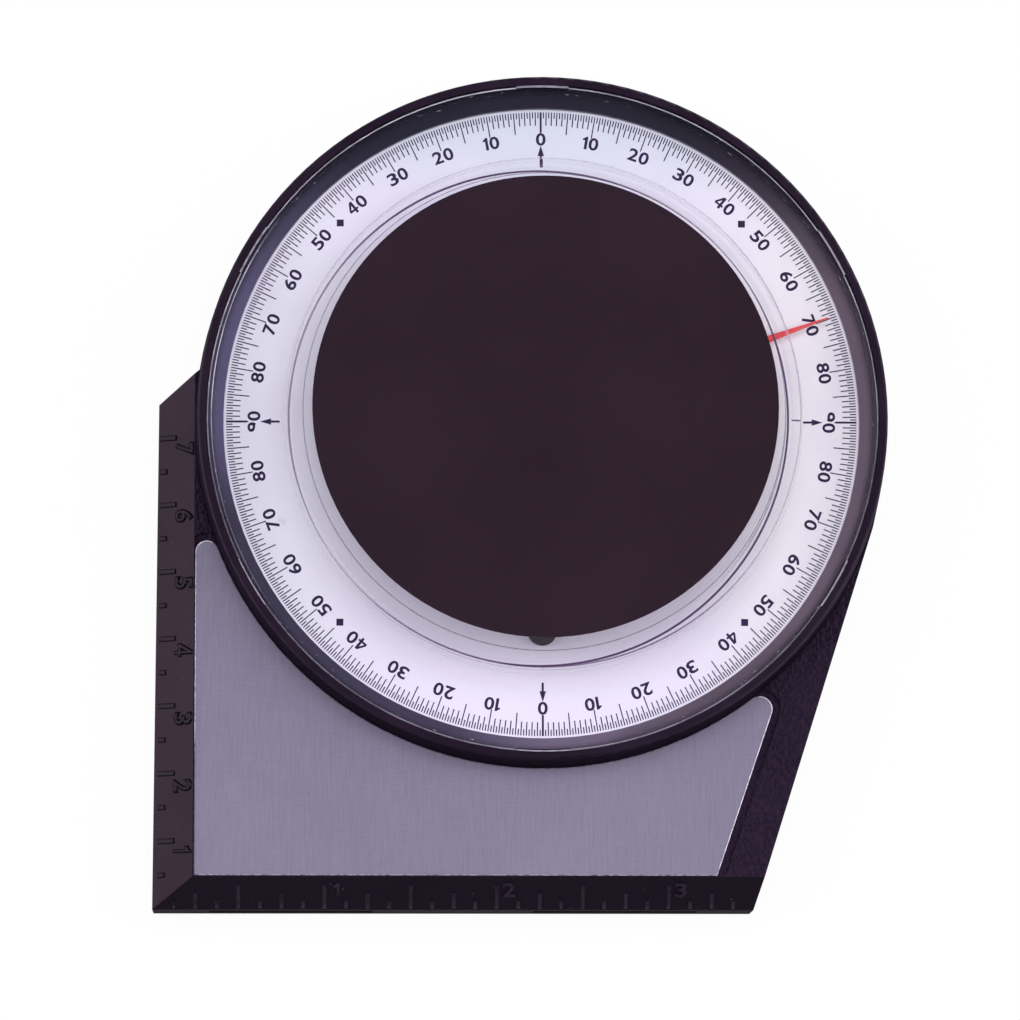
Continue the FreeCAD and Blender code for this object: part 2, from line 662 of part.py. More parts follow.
def lens():
    """Clear moulding: flange on its seat, stepped drum, boss for the front bearing."""
    outside = turned([
        (0, LENS_SEAT),
        (SEATED_RADIUS, LENS_SEAT),
        (SEATED_RADIUS, FLANGE_TOP - FLANGE_CHAMFER),
        (SEATED_RADIUS - FLANGE_CHAMFER, FLANGE_TOP),
        (STEP_RADIUS, FLANGE_TOP),
        (LEDGE_RADIUS, LEDGE_HEIGHT),
        (DRUM_BASE_RADIUS, LEDGE_HEIGHT + LEDGE_RISE),
        (DRUM_TOP_RADIUS, DRUM_HEIGHT),
        (0, DRUM_HEIGHT),
    ])
    rim = [edge for edge in outside.Edges if edge.BoundBox.ZMin > DRUM_HEIGHT - 0.1]
    outside = outside.makeFillet(DRUM_ROUNDING, rim)
    inside = turned([
        (0, LENS_SEAT),
        (STEP_RADIUS - DRUM_WALL, LENS_SEAT),
        (LEDGE_RADIUS - DRUM_WALL, LEDGE_HEIGHT - DRUM_WALL),
        (DRUM_BASE_RADIUS - DRUM_WALL, LEDGE_HEIGHT + LEDGE_RISE - DRUM_WALL),
        (DRUM_TOP_RADIUS - DRUM_WALL, DRUM_CEILING),
        (0, DRUM_CEILING),
    ])
    clear = outside.cut(inside).fuse(disc(FRONT_BOSS_RADIUS, FRONT_BOSS_BOTTOM, DRUM_CEILING))
    bush_top = FRONT_BUSH_BOTTOM + FRONT_BUSH_LENGTH
    clear = clear.cut(disc(FRONT_BUSH_RADIUS + PRESS_GAP, FRONT_BOSS_BOTTOM, bush_top))
    return clear.removeSplitter()


def centre_cap():
    return disc(CAP_RADIUS, DRUM_HEIGHT, DRUM_HEIGHT + CAP_THICKNESS)


def rear_bearing():
    return tube(PIVOT_RADIUS + PIVOT_CLEARANCE, REAR_BUSH_RADIUS, REAR_BUSH_BOTTOM, REAR_BUSH_TOP)


def front_bearing():
    top = FRONT_BUSH_BOTTOM + FRONT_BUSH_LENGTH
    return tube(PIVOT_RADIUS + PIVOT_CLEARANCE, FRONT_BUSH_RADIUS, FRONT_BUSH_BOTTOM, top)


def thrust_washers():
    bore = PIVOT_RADIUS + PIVOT_CLEARANCE
    rear = tube(bore, WASHER_RADIUS, REAR_BUSH_TOP, REAR_BUSH_TOP + WASHER_THICKNESS)
    front_top = FRONT_BUSH_BOTTOM
    front = tube(bore, WASHER_RADIUS - WELL_GAP, front_top - WASHER_THICKNESS, front_top)
    return [rear, front]


def pivot_arbor():
    """Stepped steel arbor with a thin pivot at each end."""
    bottom = REAR_BUSH_BOTTOM + PIVOT_END_GAP
    top = FRONT_BUSH_BOTTOM + FRONT_BUSH_LENGTH - PIVOT_END_GAP
    pivots = disc(PIVOT_RADIUS, bottom, top)
    return pivots.fuse(disc(ARBOR_RADIUS, ARBOR_BOTTOM, ARBOR_TOP)).removeSplitter()


def pointer_hub():
    flange = disc(HUB_FLANGE_RADIUS, HUB_BOTTOM, NEEDLE_BOTTOM)
    barrel = disc(HUB_BARREL_RADIUS, NEEDLE_BOTTOM, COLLAR_TOP)
    bore = disc(ARBOR_RADIUS + PRESS_GAP, HUB_BOTTOM, COLLAR_TOP)
    return flange.fuse(barrel).cut(bore).removeSplitter()


def hub_bore(bottom, top):
    return disc(HUB_BARREL_RADIUS + PRESS_GAP, bottom, top)


def pointer_needle():
    """Thin needle: eye on the hub, long taper to the scale, short tail."""
    top = SPACER_BOTTOM
    half_root = NEEDLE_ROOT_WIDTH / 2
    half_show = NEEDLE_SHOW_WIDTH / 2
    half_tip = NEEDLE_TIP_WIDTH / 2
    half_tail = NEEDLE_TAIL_WIDTH / 2
    outline = [
        (0.0, -half_root),
        (NEEDLE_SHOW_RADIUS, -half_show),
        (NEEDLE_TIP_RADIUS, -half_tip),
        (NEEDLE_TIP_RADIUS, half_tip),
        (NEEDLE_SHOW_RADIUS, half_show),
        (0.0, half_root),
        (-NEEDLE_TAIL, half_tail),
        (-NEEDLE_TAIL, -half_tail),
    ]
    needle = prism(outline, NEEDLE_BOTTOM, top)
    needle = needle.fuse(disc(half_tail, NEEDLE_BOTTOM, top, -NEEDLE_TAIL))
    needle = needle.fuse(disc(NEEDLE_EYE_RADIUS, NEEDLE_BOTTOM, top))
    needle = needle.cut(hub_bore(NEEDLE_BOTTOM, top)).removeSplitter()
    return set_to_reading(needle)


def set_to_reading(shape):
    """Turns a piece drawn along +X so that +X becomes the pointer's reading."""
    shape.rotate(vector(0, 0), vector(0, 0, 1), 90.0 - POINTER_READING)
    return shape


def needle_spacer():
    return tube(HUB_BARREL_RADIUS + PRESS_GAP, SPACER_RADIUS, SPACER_BOTTOM, ARM_BOTTOM)


def hub_collar():
    return tube(HUB_BARREL_RADIUS + PRESS_GAP, COLLAR_RADIUS, ARM_TOP, COLLAR_TOP)


def weight_sector(inner, outer, bottom, top):
    """Ring sector centred on -X, opposite the needle."""
    span = 2 * outer
    sides = [180.0 - WEIGHT_HALF_ANGLE, 180.0, 180.0 + WEIGHT_HALF_ANGLE]
    wedge = prism([(0.0, 0.0)] + [polar(span, angle) for angle in sides], bottom, top)
    return tube(inner, outer, bottom, top).common(wedge)


def pendulum_arm():
    """Flat steel arm: eye on the hub, straight waist, sector that carries the weight."""
    half = ARM_WAIST / 2
    arm = disc(ARM_EYE_RADIUS, ARM_BOTTOM, ARM_TOP)
    arm = arm.fuse(box(-WEIGHT_INNER_RADIUS - half, 0.0, -half, half, ARM_BOTTOM, ARM_TOP))
    arm = arm.fuse(weight_sector(WEIGHT_INNER_RADIUS, WEIGHT_OUTER_RADIUS, ARM_BOTTOM, ARM_TOP))
    arm = arm.cut(hub_bore(ARM_BOTTOM, ARM_TOP))
    for hole in rivet_shanks(SCREW_CLEARANCE, ARM_BOTTOM, ARM_TOP):
        arm = arm.cut(hole)
    return set_to_reading(arm.removeSplitter())


def pendulum_weight():
    weight = weight_sector(WEIGHT_INNER_RADIUS, WEIGHT_OUTER_RADIUS, ARM_TOP, WEIGHT_TOP)
    for hole in rivet_shanks(SCREW_CLEARANCE, ARM_TOP, WEIGHT_TOP):
        weight = weight.cut(hole)
    return set_to_reading(weight)


def rivet_places():
    return [polar(RIVET_CIRCLE, 180.0 + angle) for angle in (-RIVET_HALF_ANGLE, RIVET_HALF_ANGLE)]


def rivet_shanks(clearance, bottom, top):
    return [disc(RIVET_RADIUS + clearance, bottom, top, x, y) for x, y in rivet_places()]


def weight_rivets():
    rivets = []
    for x, y in rivet_places():
        shank = disc(RIVET_RADIUS, ARM_BOTTOM, WEIGHT_TOP, x, y)
        rear = disc(RIVET_HEAD_RADIUS, ARM_BOTTOM - RIVET_HEAD_HEIGHT, ARM_BOTTOM, x, y)
        front = disc(RIVET_HEAD_RADIUS, WEIGHT_TOP, WEIGHT_TOP + RIVET_HEAD_HEIGHT, x, y)
        rivets.append(set_to_reading(shank.multiFuse([rear, front]).removeSplitter()))
    return rivets


def panel_plate():
    return panel_plate_form(0.0, PANEL_FLOOR, PANEL_FLOOR + PANEL_PLATE_THICKNESS)


def export(name, shape):
    if isinstance(shape, list):
        shape = Part.makeCompound(shape)
    if not shape.isValid():
        raise ValueError(name + " is not a valid solid")
    shape.exportStep("parts/" + name + ".step")
    low, high = shape.BoundBox.ZMin, shape.BoundBox.ZMax
    print(f"{name}: {len(shape.Solids)} solids, {shape.Volume:.1f} mm3, z {low:.2f} to {high:.2f}")


os.makedirs("parts", exist_ok=True)
PIECES = {
    "front_housing": front_housing,
    "back_cover": back_cover,
    "cover_screws": cover_screws,
    "base_magnets": base_magnets,
    "pole_plates": pole_plates,
    "panel_plate": panel_plate,
    "dial_plate": dial_plate,
    "dial_screws": dial_screws,
    "dial_retaining_ring": dial_retaining_ring,
    "lens": lens,
    "centre_cap": centre_cap,
    "rear_bearing": rear_bearing,
    "front_bearing": front_bearing,
    "thrust_washers": thrust_washers,
    "pivot_arbor": pivot_arbor,
    "pointer_hub": pointer_hub,
    "pointer_needle": pointer_needle,
    "needle_spacer": needle_spacer,
    "pendulum_arm": pendulum_arm,
    "hub_collar": hub_collar,
    "pendulum_weight": pendulum_weight,
    "weight_rivets": weight_rivets,
}
for piece_name, make_piece in PIECES.items():
    export(piece_name, make_piece())
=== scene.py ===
import math

import bmesh
import bpy
from mathutils import Matrix, Vector


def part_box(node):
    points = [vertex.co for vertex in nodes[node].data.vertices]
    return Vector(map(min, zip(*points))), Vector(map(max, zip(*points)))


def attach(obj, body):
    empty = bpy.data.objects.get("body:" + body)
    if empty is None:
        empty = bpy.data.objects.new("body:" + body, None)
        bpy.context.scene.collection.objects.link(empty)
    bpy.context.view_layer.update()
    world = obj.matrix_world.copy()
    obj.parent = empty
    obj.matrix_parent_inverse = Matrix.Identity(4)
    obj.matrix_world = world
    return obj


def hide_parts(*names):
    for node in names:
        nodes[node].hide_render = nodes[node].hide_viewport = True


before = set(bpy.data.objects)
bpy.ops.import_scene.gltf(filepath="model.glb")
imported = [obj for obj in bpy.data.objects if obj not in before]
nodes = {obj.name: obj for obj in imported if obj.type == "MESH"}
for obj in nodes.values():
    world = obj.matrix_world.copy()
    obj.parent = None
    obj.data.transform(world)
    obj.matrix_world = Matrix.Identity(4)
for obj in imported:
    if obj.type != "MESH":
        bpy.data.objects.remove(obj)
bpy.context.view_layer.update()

# The instrument lies on its back on a white table, seen from above and a
# little from the base's side. The camera looks at a point on the dial's face.
MM = 0.001
DIAL_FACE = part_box("dial_plate")[1].z
LOOK_AT = Vector((-4.74 * MM, -13.21 * MM, DIAL_FACE))
LEAN_TO_BASE = math.radians(7.73)
LEAN_TO_LEFT = math.radians(1.83)
CAMERA_ROLL = math.radians(0.07)
CAMERA_DISTANCE = 900 * MM
CAMERA_LENS = 214.06

camera = bpy.data.objects.new("camera", bpy.data.cameras.new("camera"))
bpy.context.scene.collection.objects.link(camera)
towards_camera = Vector((
    -math.sin(LEAN_TO_LEFT) * math.cos(LEAN_TO_BASE),
    -math.sin(LEAN_TO_BASE),
    math.cos(LEAN_TO_LEFT) * math.cos(LEAN_TO_BASE),
)).normalized()
upwards = Vector((math.sin(CAMERA_ROLL), math.cos(CAMERA_ROLL), 0.0))
upwards = (upwards - upwards.dot(towards_camera) * towards_camera).normalized()
sideways = upwards.cross(towards_camera)
turn = Matrix((sideways, upwards, towards_camera)).transposed().to_4x4()
camera.matrix_world = Matrix.Translation(LOOK_AT + towards_camera * CAMERA_DISTANCE) @ turn
camera.data.sensor_width = 36.0
camera.data.lens = CAMERA_LENS
camera.data.clip_start = 0.05
camera.data.clip_end = 20.0
bpy.context.scene.camera = camera
bpy.context.scene.view_settings.view_transform = "Standard"

# The table: one broad white sheet. Seen straight or in a reflection it is
# mostly its own white, and the rest of it keeps the instrument's shadow.
TABLE_HALF = 3.0
TABLE_DROP = 0.02 * MM
TABLE_GLOW = 0.95
TABLE_WHITE = (0.93, 0.93, 0.93)


class Feed:
    """One value in a finish. Arithmetic on it adds Math nodes."""

    def __init__(self, finish, socket):
        self.finish = finish
        self.socket = socket

    def math(self, operation, *others):
        values = dict(enumerate((self,) + others))
        return self.finish.node("ShaderNodeMath", {"operation": operation}, values)[0]

    def __add__(self, other):
        return self.math("ADD", other)

    def __sub__(self, other):
        return self.math("SUBTRACT", other)

    def __rsub__(self, other):
        return self.math("MULTIPLY", -1.0).math("ADD", other)

    def __mul__(self, other):
        return self.math("MULTIPLY", other)

    def __pow__(self, other):
        return self.math("POWER", other)

    __radd__ = __add__
    __rmul__ = __mul__

    def clamped(self):
        return self.math("MAXIMUM", 0.0).math("MINIMUM", 1.0)

    def between(self, low, high):
        """Nought at low, one at high, and smooth from one to the other."""
        sockets = {"Value": self, "From Min": low, "From Max": high, "To Min": 0.0, "To Max": 1.0}
        return self.finish.node("ShaderNodeMapRange", {"interpolation_type": "SMOOTHSTEP"}, sockets)[0]

    def band(self, rise, fall):
        """Goes up over the pair of values rise and down again over the pair fall."""
        return self.between(*rise) * (1.0 - self.between(*fall))

    def or_more(self, other):
        """The greater of the two."""
        return self.math("MAXIMUM", other)


class Outputs:
    """A node's outputs, by name or number, each as a Feed."""

    def __init__(self, finish, node):
        self.finish = finish
        self.node = node

    def __getitem__(self, name):
        return Feed(self.finish, self.node.outputs[name])


class Finish:
    """The nodes of one finish, or of the light around the table."""

    def __init__(self, owner):
        owner.use_nodes = True
        self.tree = owner.node_tree
        self.tree.nodes.clear()

    def node(self, kind, settings, sockets):
        made = self.tree.nodes.new(kind)
        for name, value in settings.items():
            setattr(made, name, value)
        for name, value in sockets.items():
            if isinstance(value, Feed):
                self.tree.links.new(value.socket, made.inputs[name])
            else:
                made.inputs[name].default_value = value
        return Outputs(self, made)

    def blend(self, share, first, second):
        """Colour that goes from first to second as share goes from 0 to 1."""
        sockets = {0: share, 6: self.colour(first), 7: self.colour(second)}
        return self.node("ShaderNodeMix", {"data_type": "RGBA"}, sockets)[2]

    def colour(self, value):
        return value if isinstance(value, Feed) else (*value, 1.0)

    def place(self):
        return self.node("ShaderNodeTexCoord", {}, {})["Object"]

    def axes(self, where):
        parts = self.node("ShaderNodeSeparateXYZ", {}, {0: where})
        return parts[0], parts[1], parts[2]

    def speckle(self, where, size, detail=2.0):
        """Noise whose cells are about size across, in metres."""
        sockets = {"Vector": where, "Scale": 1.0 / size, "Detail": detail, "Roughness": 0.55}
        return self.node("ShaderNodeTexNoise", {}, sockets)[0]

    def bump(self, height, depth, strength=1.0):
        sockets = {"Height": height, "Distance": depth, "Strength": strength}
        return self.node("ShaderNodeBump", {}, sockets)[0]

    def mixed(self, share, first, second):
        """Shader that goes from first to second as share goes from 0 to 1."""
        return self.node("ShaderNodeMixShader", {}, {0: share, 1: first, 2: second})[0]

    def principled(self, sockets):
        return self.node("ShaderNodeBsdfPrincipled", {}, sockets)[0]

    def surface(self, shader):
        self.node("ShaderNodeOutputMaterial", {}, {"Surface": shader})


def finish_named(name):
    material = bpy.data.materials.new(name)
    return material, Finish(material)


table_mesh = bpy.data.meshes.new("table")
form = bmesh.new()
bmesh.ops.create_grid(form, x_segments=1, y_segments=1, size=TABLE_HALF)
bmesh.ops.translate(form, verts=form.verts, vec=(0, 0, -TABLE_DROP))
form.to_mesh(table_mesh)
form.free()
table = bpy.data.objects.new("table", table_mesh)
bpy.context.scene.collection.objects.link(table)
table_white, finish = finish_named("table_white")
rays = finish.node("ShaderNodeLightPath", {}, {})
seen = (rays["Is Camera Ray"] + rays["Is Glossy Ray"] + rays["Is Transmission Ray"]).clamped()
sheet = finish.node("ShaderNodeBsdfDiffuse", {}, {"Color": (*TABLE_WHITE, 1.0)})[0]
glow = finish.node("ShaderNodeEmission", {}, {"Color": (1.0, 1.0, 1.0, 1.0), "Strength": 1.0})[0]
clear = finish.node("ShaderNodeBsdfTransparent", {}, {})[0]
from_below = finish.node("ShaderNodeNewGeometry", {}, {})["Backfacing"]
finish.surface(finish.mixed(from_below, finish.mixed(seen * TABLE_GLOW, sheet, glow), clear))
table_mesh.materials.append(table_white)

# The light: a broad soft lamp overhead, a soft box at each side, weak strips low
# at both sides, and a room that is dim above and towards the base.
OVERHEAD_LAMP = {"place": (0.03, 0.04, 1.0), "wide": 0.7, "long": 0.7, "power": 6.9}
LEFT_BOX = {"place": (-0.72, 0.08, 0.86), "wide": 0.45, "long": 0.7, "power": 1.3, "tint": (0.94, 0.96, 1.0)}
RIGHT_BOX = {"place": (0.54, 0.06, 0.60), "wide": 0.35, "long": 0.5, "power": 1.2, "tint": (1.0, 0.96, 0.98)}
LEFT_STRIP = {"place": (-0.80, 0.10, 0.42), "wide": 0.10, "long": 0.7, "power": 0.55}
RIGHT_STRIP = {"place": (0.80, 0.10, 0.42), "wide": 0.10, "long": 0.7, "power": 0.55}
ROOM_LEVEL = 0.36
ROOM_DARKEST = 0.04
ROOM_ABOVE = -0.26
ROOM_ABOVE_REACH = (0.45, 0.92)
ROOM_LEFT = 0.85
ROOM_RIGHT = 0.65
ROOM_SIDE_REACH = (0.30, 0.90)
ROOM_FRONT = -0.33
ROOM_FRONT_REACH = (0.25, 0.85)
ROOM_BACK = -0.18
ROOM_BACK_REACH = (0.35, 0.90)


def soft_lamp(name, place, wide, long, power, tint=(1.0, 1.0, 1.0)):
    lamp = bpy.data.lights.new(name, "AREA")
    lamp.color = tint
    lamp.shape = "RECTANGLE"
    lamp.size = wide
    lamp.size_y = long
    lamp.energy = power
    stand = bpy.data.objects.new(name, lamp)
    bpy.context.scene.collection.objects.link(stand)
    stand.location = place
    stand.rotation_euler = (-Vector(place)).to_track_quat("-Z", "Y").to_euler()
    return stand


boxes = [
    soft_lamp("overhead_lamp", **OVERHEAD_LAMP),
    soft_lamp("left_box", **LEFT_BOX),
    soft_lamp("right_box", **RIGHT_BOX),
]
for box in boxes:
    box.visible_glossy = False
    box.visible_transmission = False
soft_lamp("left_strip", **LEFT_STRIP)
soft_lamp("right_strip", **RIGHT_STRIP)

world = bpy.data.worlds.new("room")
bpy.context.scene.world = world
room = Finish(world)
across, along, height = room.axes(room.node("ShaderNodeTexCoord", {}, {})["Generated"])
level = (-1.0 * across).between(*ROOM_SIDE_REACH) * ROOM_LEFT
level = level + across.between(*ROOM_SIDE_REACH) * ROOM_RIGHT
level = level + (-1.0 * along).between(*ROOM_FRONT_REACH) * ROOM_FRONT
level = level + along.between(*ROOM_BACK_REACH) * ROOM_BACK
level = (level + height.between(*ROOM_ABOVE_REACH) * ROOM_ABOVE + ROOM_LEVEL).or_more(ROOM_DARKEST)
straight = room.node("ShaderNodeLightPath", {}, {})["Is Camera Ray"]
level = straight + (1.0 - straight) * level
air = room.node("ShaderNodeBackground", {}, {"Color": (1.0, 1.0, 1.0, 1.0), "Strength": level})[0]
room.node("ShaderNodeOutputWorld", {}, {"Surface": air})

# The case: one black moulding. The foot's upper face has a leathery grain, the
# rim and the bevels are smoother, its sides are dull, and the left bevel is worn.
# Its colour also carries painted light: painted shade on the left and base bevels,
# on the raised marks' sides and on the left bevel's marks, and painted highlights
# on the base bevel's marks, the ticks' ends at the foot and the lens beads' tops.
# A pair of sizes says where a change in the finish starts and where it ends.
housing_low, housing_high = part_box("front_housing")
PANEL_TOP = 12.0 * MM
BEVEL_DROP = 3.5 * MM
LEFT_BEVEL_WIDTH = 5.95 * MM
BASE_BEVEL_WIDTH = 4.65 * MM
LEFT_SLOPE = math.atan2(BEVEL_DROP, LEFT_BEVEL_WIDTH)
BASE_SLOPE = math.atan2(BEVEL_DROP, BASE_BEVEL_WIDTH)
LEFT_RIDGE = housing_low.x + LEFT_BEVEL_WIDTH
BASE_RIDGE = housing_low.y + BASE_BEVEL_WIDTH
CASE_RADIUS = housing_high.x
JUST_OUTSIDE_RIM = (CASE_RADIUS + 0.05 * MM, CASE_RADIUS + 0.15 * MM)
ABOVE_BEVEL_FOOT = (8.55 * MM, 8.70 * MM)
MARK_FACE_HEIGHT = (0.165 * MM, 0.185 * MM)
TICK_END = (housing_low.y + 0.1 * MM, housing_low.y + 0.8 * MM)
BEAD_FOOT_HEIGHT = (17.60 * MM, 17.65 * MM)
BEAD_TOP_HEIGHT = (17.95 * MM, 18.00 * MM)
BEAD_INNER_RADIUS = (49.50 * MM, 49.56 * MM)
BEAD_OUTER_RADIUS = (49.80 * MM, 49.84 * MM)
FACES_THAT_WAY = (0.985, 0.995)
FACES_UP = (0.15, 0.45)
FACES_UP_MORE = (0.30, 0.60)
CASE_BLACK = (0.0085, 0.0040, 0.0130)
CASE_BLACK_DUSTY = (0.0130, 0.0070, 0.0180)
WORN_BLACK_AND_PAINTED_SHADE = (0.0085, 0.0018, 0.0088)
BASE_BEVEL_PAINTED_SHADE = (0.0030, 0.0016, 0.0060)
BASE_MARK_PAINTED_HIGHLIGHT = (0.022, 0.014, 0.028)
TICK_FOOT_PAINTED_GLINT = (0.045, 0.030, 0.052)
GRAIN_TOP_BLACK = (0.0185, 0.0100, 0.0260)
BEAD_PAINTED_GLINT = (0.42, 0.39, 0.48)
MARK_PAINTED_SHADE = (0.0010, 0.0006, 0.0016)
SCUFF_GREY = (0.16, 0.13, 0.17)
CASE_SHEEN = (1.0, 0.76, 1.0, 1.0)
PEBBLE = 0.62 * MM
PEBBLE_DEPTH = 0.20 * MM


def dress(node_name, material):
    """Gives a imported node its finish."""
    mesh = nodes[node_name].data
    mesh.materials.clear()
    mesh.materials.append(material)


def squared(pair):
    return pair[0] ** 2, pair[1] ** 2


case_black, finish = finish_named("case_black")
where = finish.place()
x, y, z = finish.axes(where)
facing = finish.node("ShaderNodeNewGeometry", {}, {})["True Normal"]
facing_x, facing_y, facing_z = finish.axes(facing)
on_left = facing_x * -math.sin(LEFT_SLOPE) + facing_z * math.cos(LEFT_SLOPE)
on_left = on_left.between(*FACES_THAT_WAY)
on_base = facing_y * -math.sin(BASE_SLOPE) + facing_z * math.cos(BASE_SLOPE)
on_base = on_base.between(*FACES_THAT_WAY)
on_top = facing_z.between(*FACES_THAT_WAY)
square = x * x + y * y
outside = square.between(*squared(JUST_OUTSIDE_RIM))
by_left_edge = 1.0 - x.between(LEFT_RIDGE - 0.1 * MM, LEFT_RIDGE)
above_walls = z.between(*ABOVE_BEVEL_FOOT)
mark_wall = (1.0 - (on_left + on_top + on_base).clamped()) * by_left_edge * above_walls * outside
panel_grain = on_top * outside
upright = 1.0 - facing_z.between(*FACES_UP)
steep = 1.0 - facing_z.between(*FACES_UP_MORE)
above_base = (y - BASE_RIDGE) * -math.sin(BASE_SLOPE) + (z - PANEL_TOP) * math.cos(BASE_SLOPE)
above_left = (x - LEFT_RIDGE) * -math.sin(LEFT_SLOPE) + (z - PANEL_TOP) * math.cos(LEFT_SLOPE)
base_mark = on_base * above_base.between(*MARK_FACE_HEIGHT)
left_mark = on_left * above_left.between(*MARK_FACE_HEIGHT)
tick_foot_glint = base_mark * (1.0 - y.between(*TICK_END))
bead_glint = z.band(BEAD_FOOT_HEIGHT, BEAD_TOP_HEIGHT) * (1.0 - upright)
bead_glint = bead_glint * square.band(squared(BEAD_INNER_RADIUS), squared(BEAD_OUTER_RADIUS))
pebbles = finish.node("ShaderNodeTexVoronoi", {"feature": "F1"}, {"Vector": where, "Scale": 1.0 / PEBBLE})[0]
fine = finish.speckle(where, 0.20 * MM, 3.0)
cloudy = finish.speckle(where, 9 * MM, 3.0)
colour = finish.blend(cloudy.between(0.35, 0.7), CASE_BLACK, CASE_BLACK_DUSTY)
# The left bevel is worn, and it is also painted darker and redder: painted shade against the light it
# catches.
colour = finish.blend(on_left * (cloudy * 0.5 + 0.6), colour, WORN_BLACK_AND_PAINTED_SHADE)
# The base bevel, facing away from the lamps, is painted darker: painted shade.
colour = finish.blend(on_base, colour, BASE_BEVEL_PAINTED_SHADE)
grain_tops = (pebbles * (0.5 + fine)).between(0.30, 0.75)
colour = finish.blend(grain_tops * panel_grain * 0.8, colour, GRAIN_TOP_BLACK)
specks = finish.speckle(where, 0.42 * MM, 1.0).between(0.765, 0.81) * (on_left + on_base)
colour = finish.blend(specks * 0.5, colour, SCUFF_GREY)
# The raised marks' sloping sides are painted near black: painted shade.
colour = finish.blend(mark_wall, colour, MARK_PAINTED_SHADE)
patchy = finish.speckle(where, 1.2 * MM, 3.0).between(0.3, 0.6)
# The faces of the left bevel's marks are painted darker too: painted shade.
colour = finish.blend(left_mark * 0.6, colour, MARK_PAINTED_SHADE)
# The base bevel's raised marks are painted paler grey: a painted highlight.
colour = finish.blend(base_mark * (patchy * 0.8 + 0.2), colour, BASE_MARK_PAINTED_HIGHLIGHT)
# The ticks' ends at the foot are painted paler still: a painted glint.
colour = finish.blend(tick_foot_glint * (patchy * 0.5 + 0.5), colour, TICK_FOOT_PAINTED_GLINT)
# The lens beads' tops are painted pale grey: a painted highlight that carries on the lens's bright edge.
colour = finish.blend(bead_glint * (patchy * 0.5 + 0.5), colour, BEAD_PAINTED_GLINT)
moulded = finish.principled({
    "Base Color": colour,
    "Roughness": cloudy * 0.12 + mark_wall * 0.3 + upright * 0.25 + (0.42 - 0.04 * on_left),
    "Specular IOR Level": 0.34,
    "Specular Tint": CASE_SHEEN,
    "Normal": finish.bump(pebbles * panel_grain + fine * (0.15 + 0.05 * panel_grain), PEBBLE_DEPTH, 0.8),
})
sides = finish.principled({
    "Base Color": finish.blend(cloudy, CASE_BLACK, CASE_BLACK_DUSTY),
    "Roughness": fine * 0.1 + 0.85,
    "Specular IOR Level": 0.03,
    "Normal": finish.bump(fine, 0.02 * MM, 0.6),
})
finish.surface(finish.mixed(steep * (1.0 - mark_wall) * 0.9, moulded, sides))
dress("front_housing", case_black)

# The ruler edges' numbers: moulded with the case in raised digits with sloping
# sides, upright along the base and turned on their side up the left edge.
INCH = 25.4 * MM
CENTIMETRE = 10.0 * MM
RULER_DIGIT_RISE = 0.2 * MM
CM_DIGIT = {"height": 3.35 * MM, "width": 2.1 * MM, "stroke": 0.10, "swell": -0.012, "wall": 0.075}
CM_DIGIT_SHIFTS = {1: 0.45 * MM, 2: -0.15 * MM, 3: -0.20 * MM}
INCH_DIGIT = {"height": 2.6 * MM, "width": 1.95 * MM, "stroke": 0.13, "swell": 0.0, "wall": 0.045}
CM_DIGIT_BEHIND_TICK = 1.78 * MM
INCH_DIGIT_PAST_TICK = 1.75 * MM
CM_DIGIT_DOWN_BEVEL = 1.50 * MM
INCH_DIGIT_DOWN_BEVEL = 1.85 * MM
DRAWN_HEIGHT = 0.73
ROUND_DIGIT_SHARE = 0.52


def own_digit_outlines(digit, stroke):
    """The one and the four, as closed outlines 1 high with bars of one width."""
    right = 0.34 if digit == "1" else 0.58
    left = right - stroke
    if digit == "1":
        return [[(left, 0.0), (right, 0.0), (right, 1.0), (left + 0.05, 1.0), (left - 0.04, 0.89),
                 (0.0, 0.82), (0.0, 0.70), (left, 0.72)]]
    bar_end = 0.72
    bar_foot = 0.22
    bar_top = bar_foot + stroke * 0.85
    return [
        [(left, 0.0), (right, 0.0), (right, bar_foot), (bar_end, bar_foot), (bar_end, bar_top),
         (right, bar_top), (right, 1.0), (left - 0.02, 1.0), (0.0, bar_top + 0.02),
         (0.0, bar_foot), (left, bar_foot)],
        [(left, bar_top), (0.16, bar_top), (left, 1.0 - stroke * 1.45)],
    ]


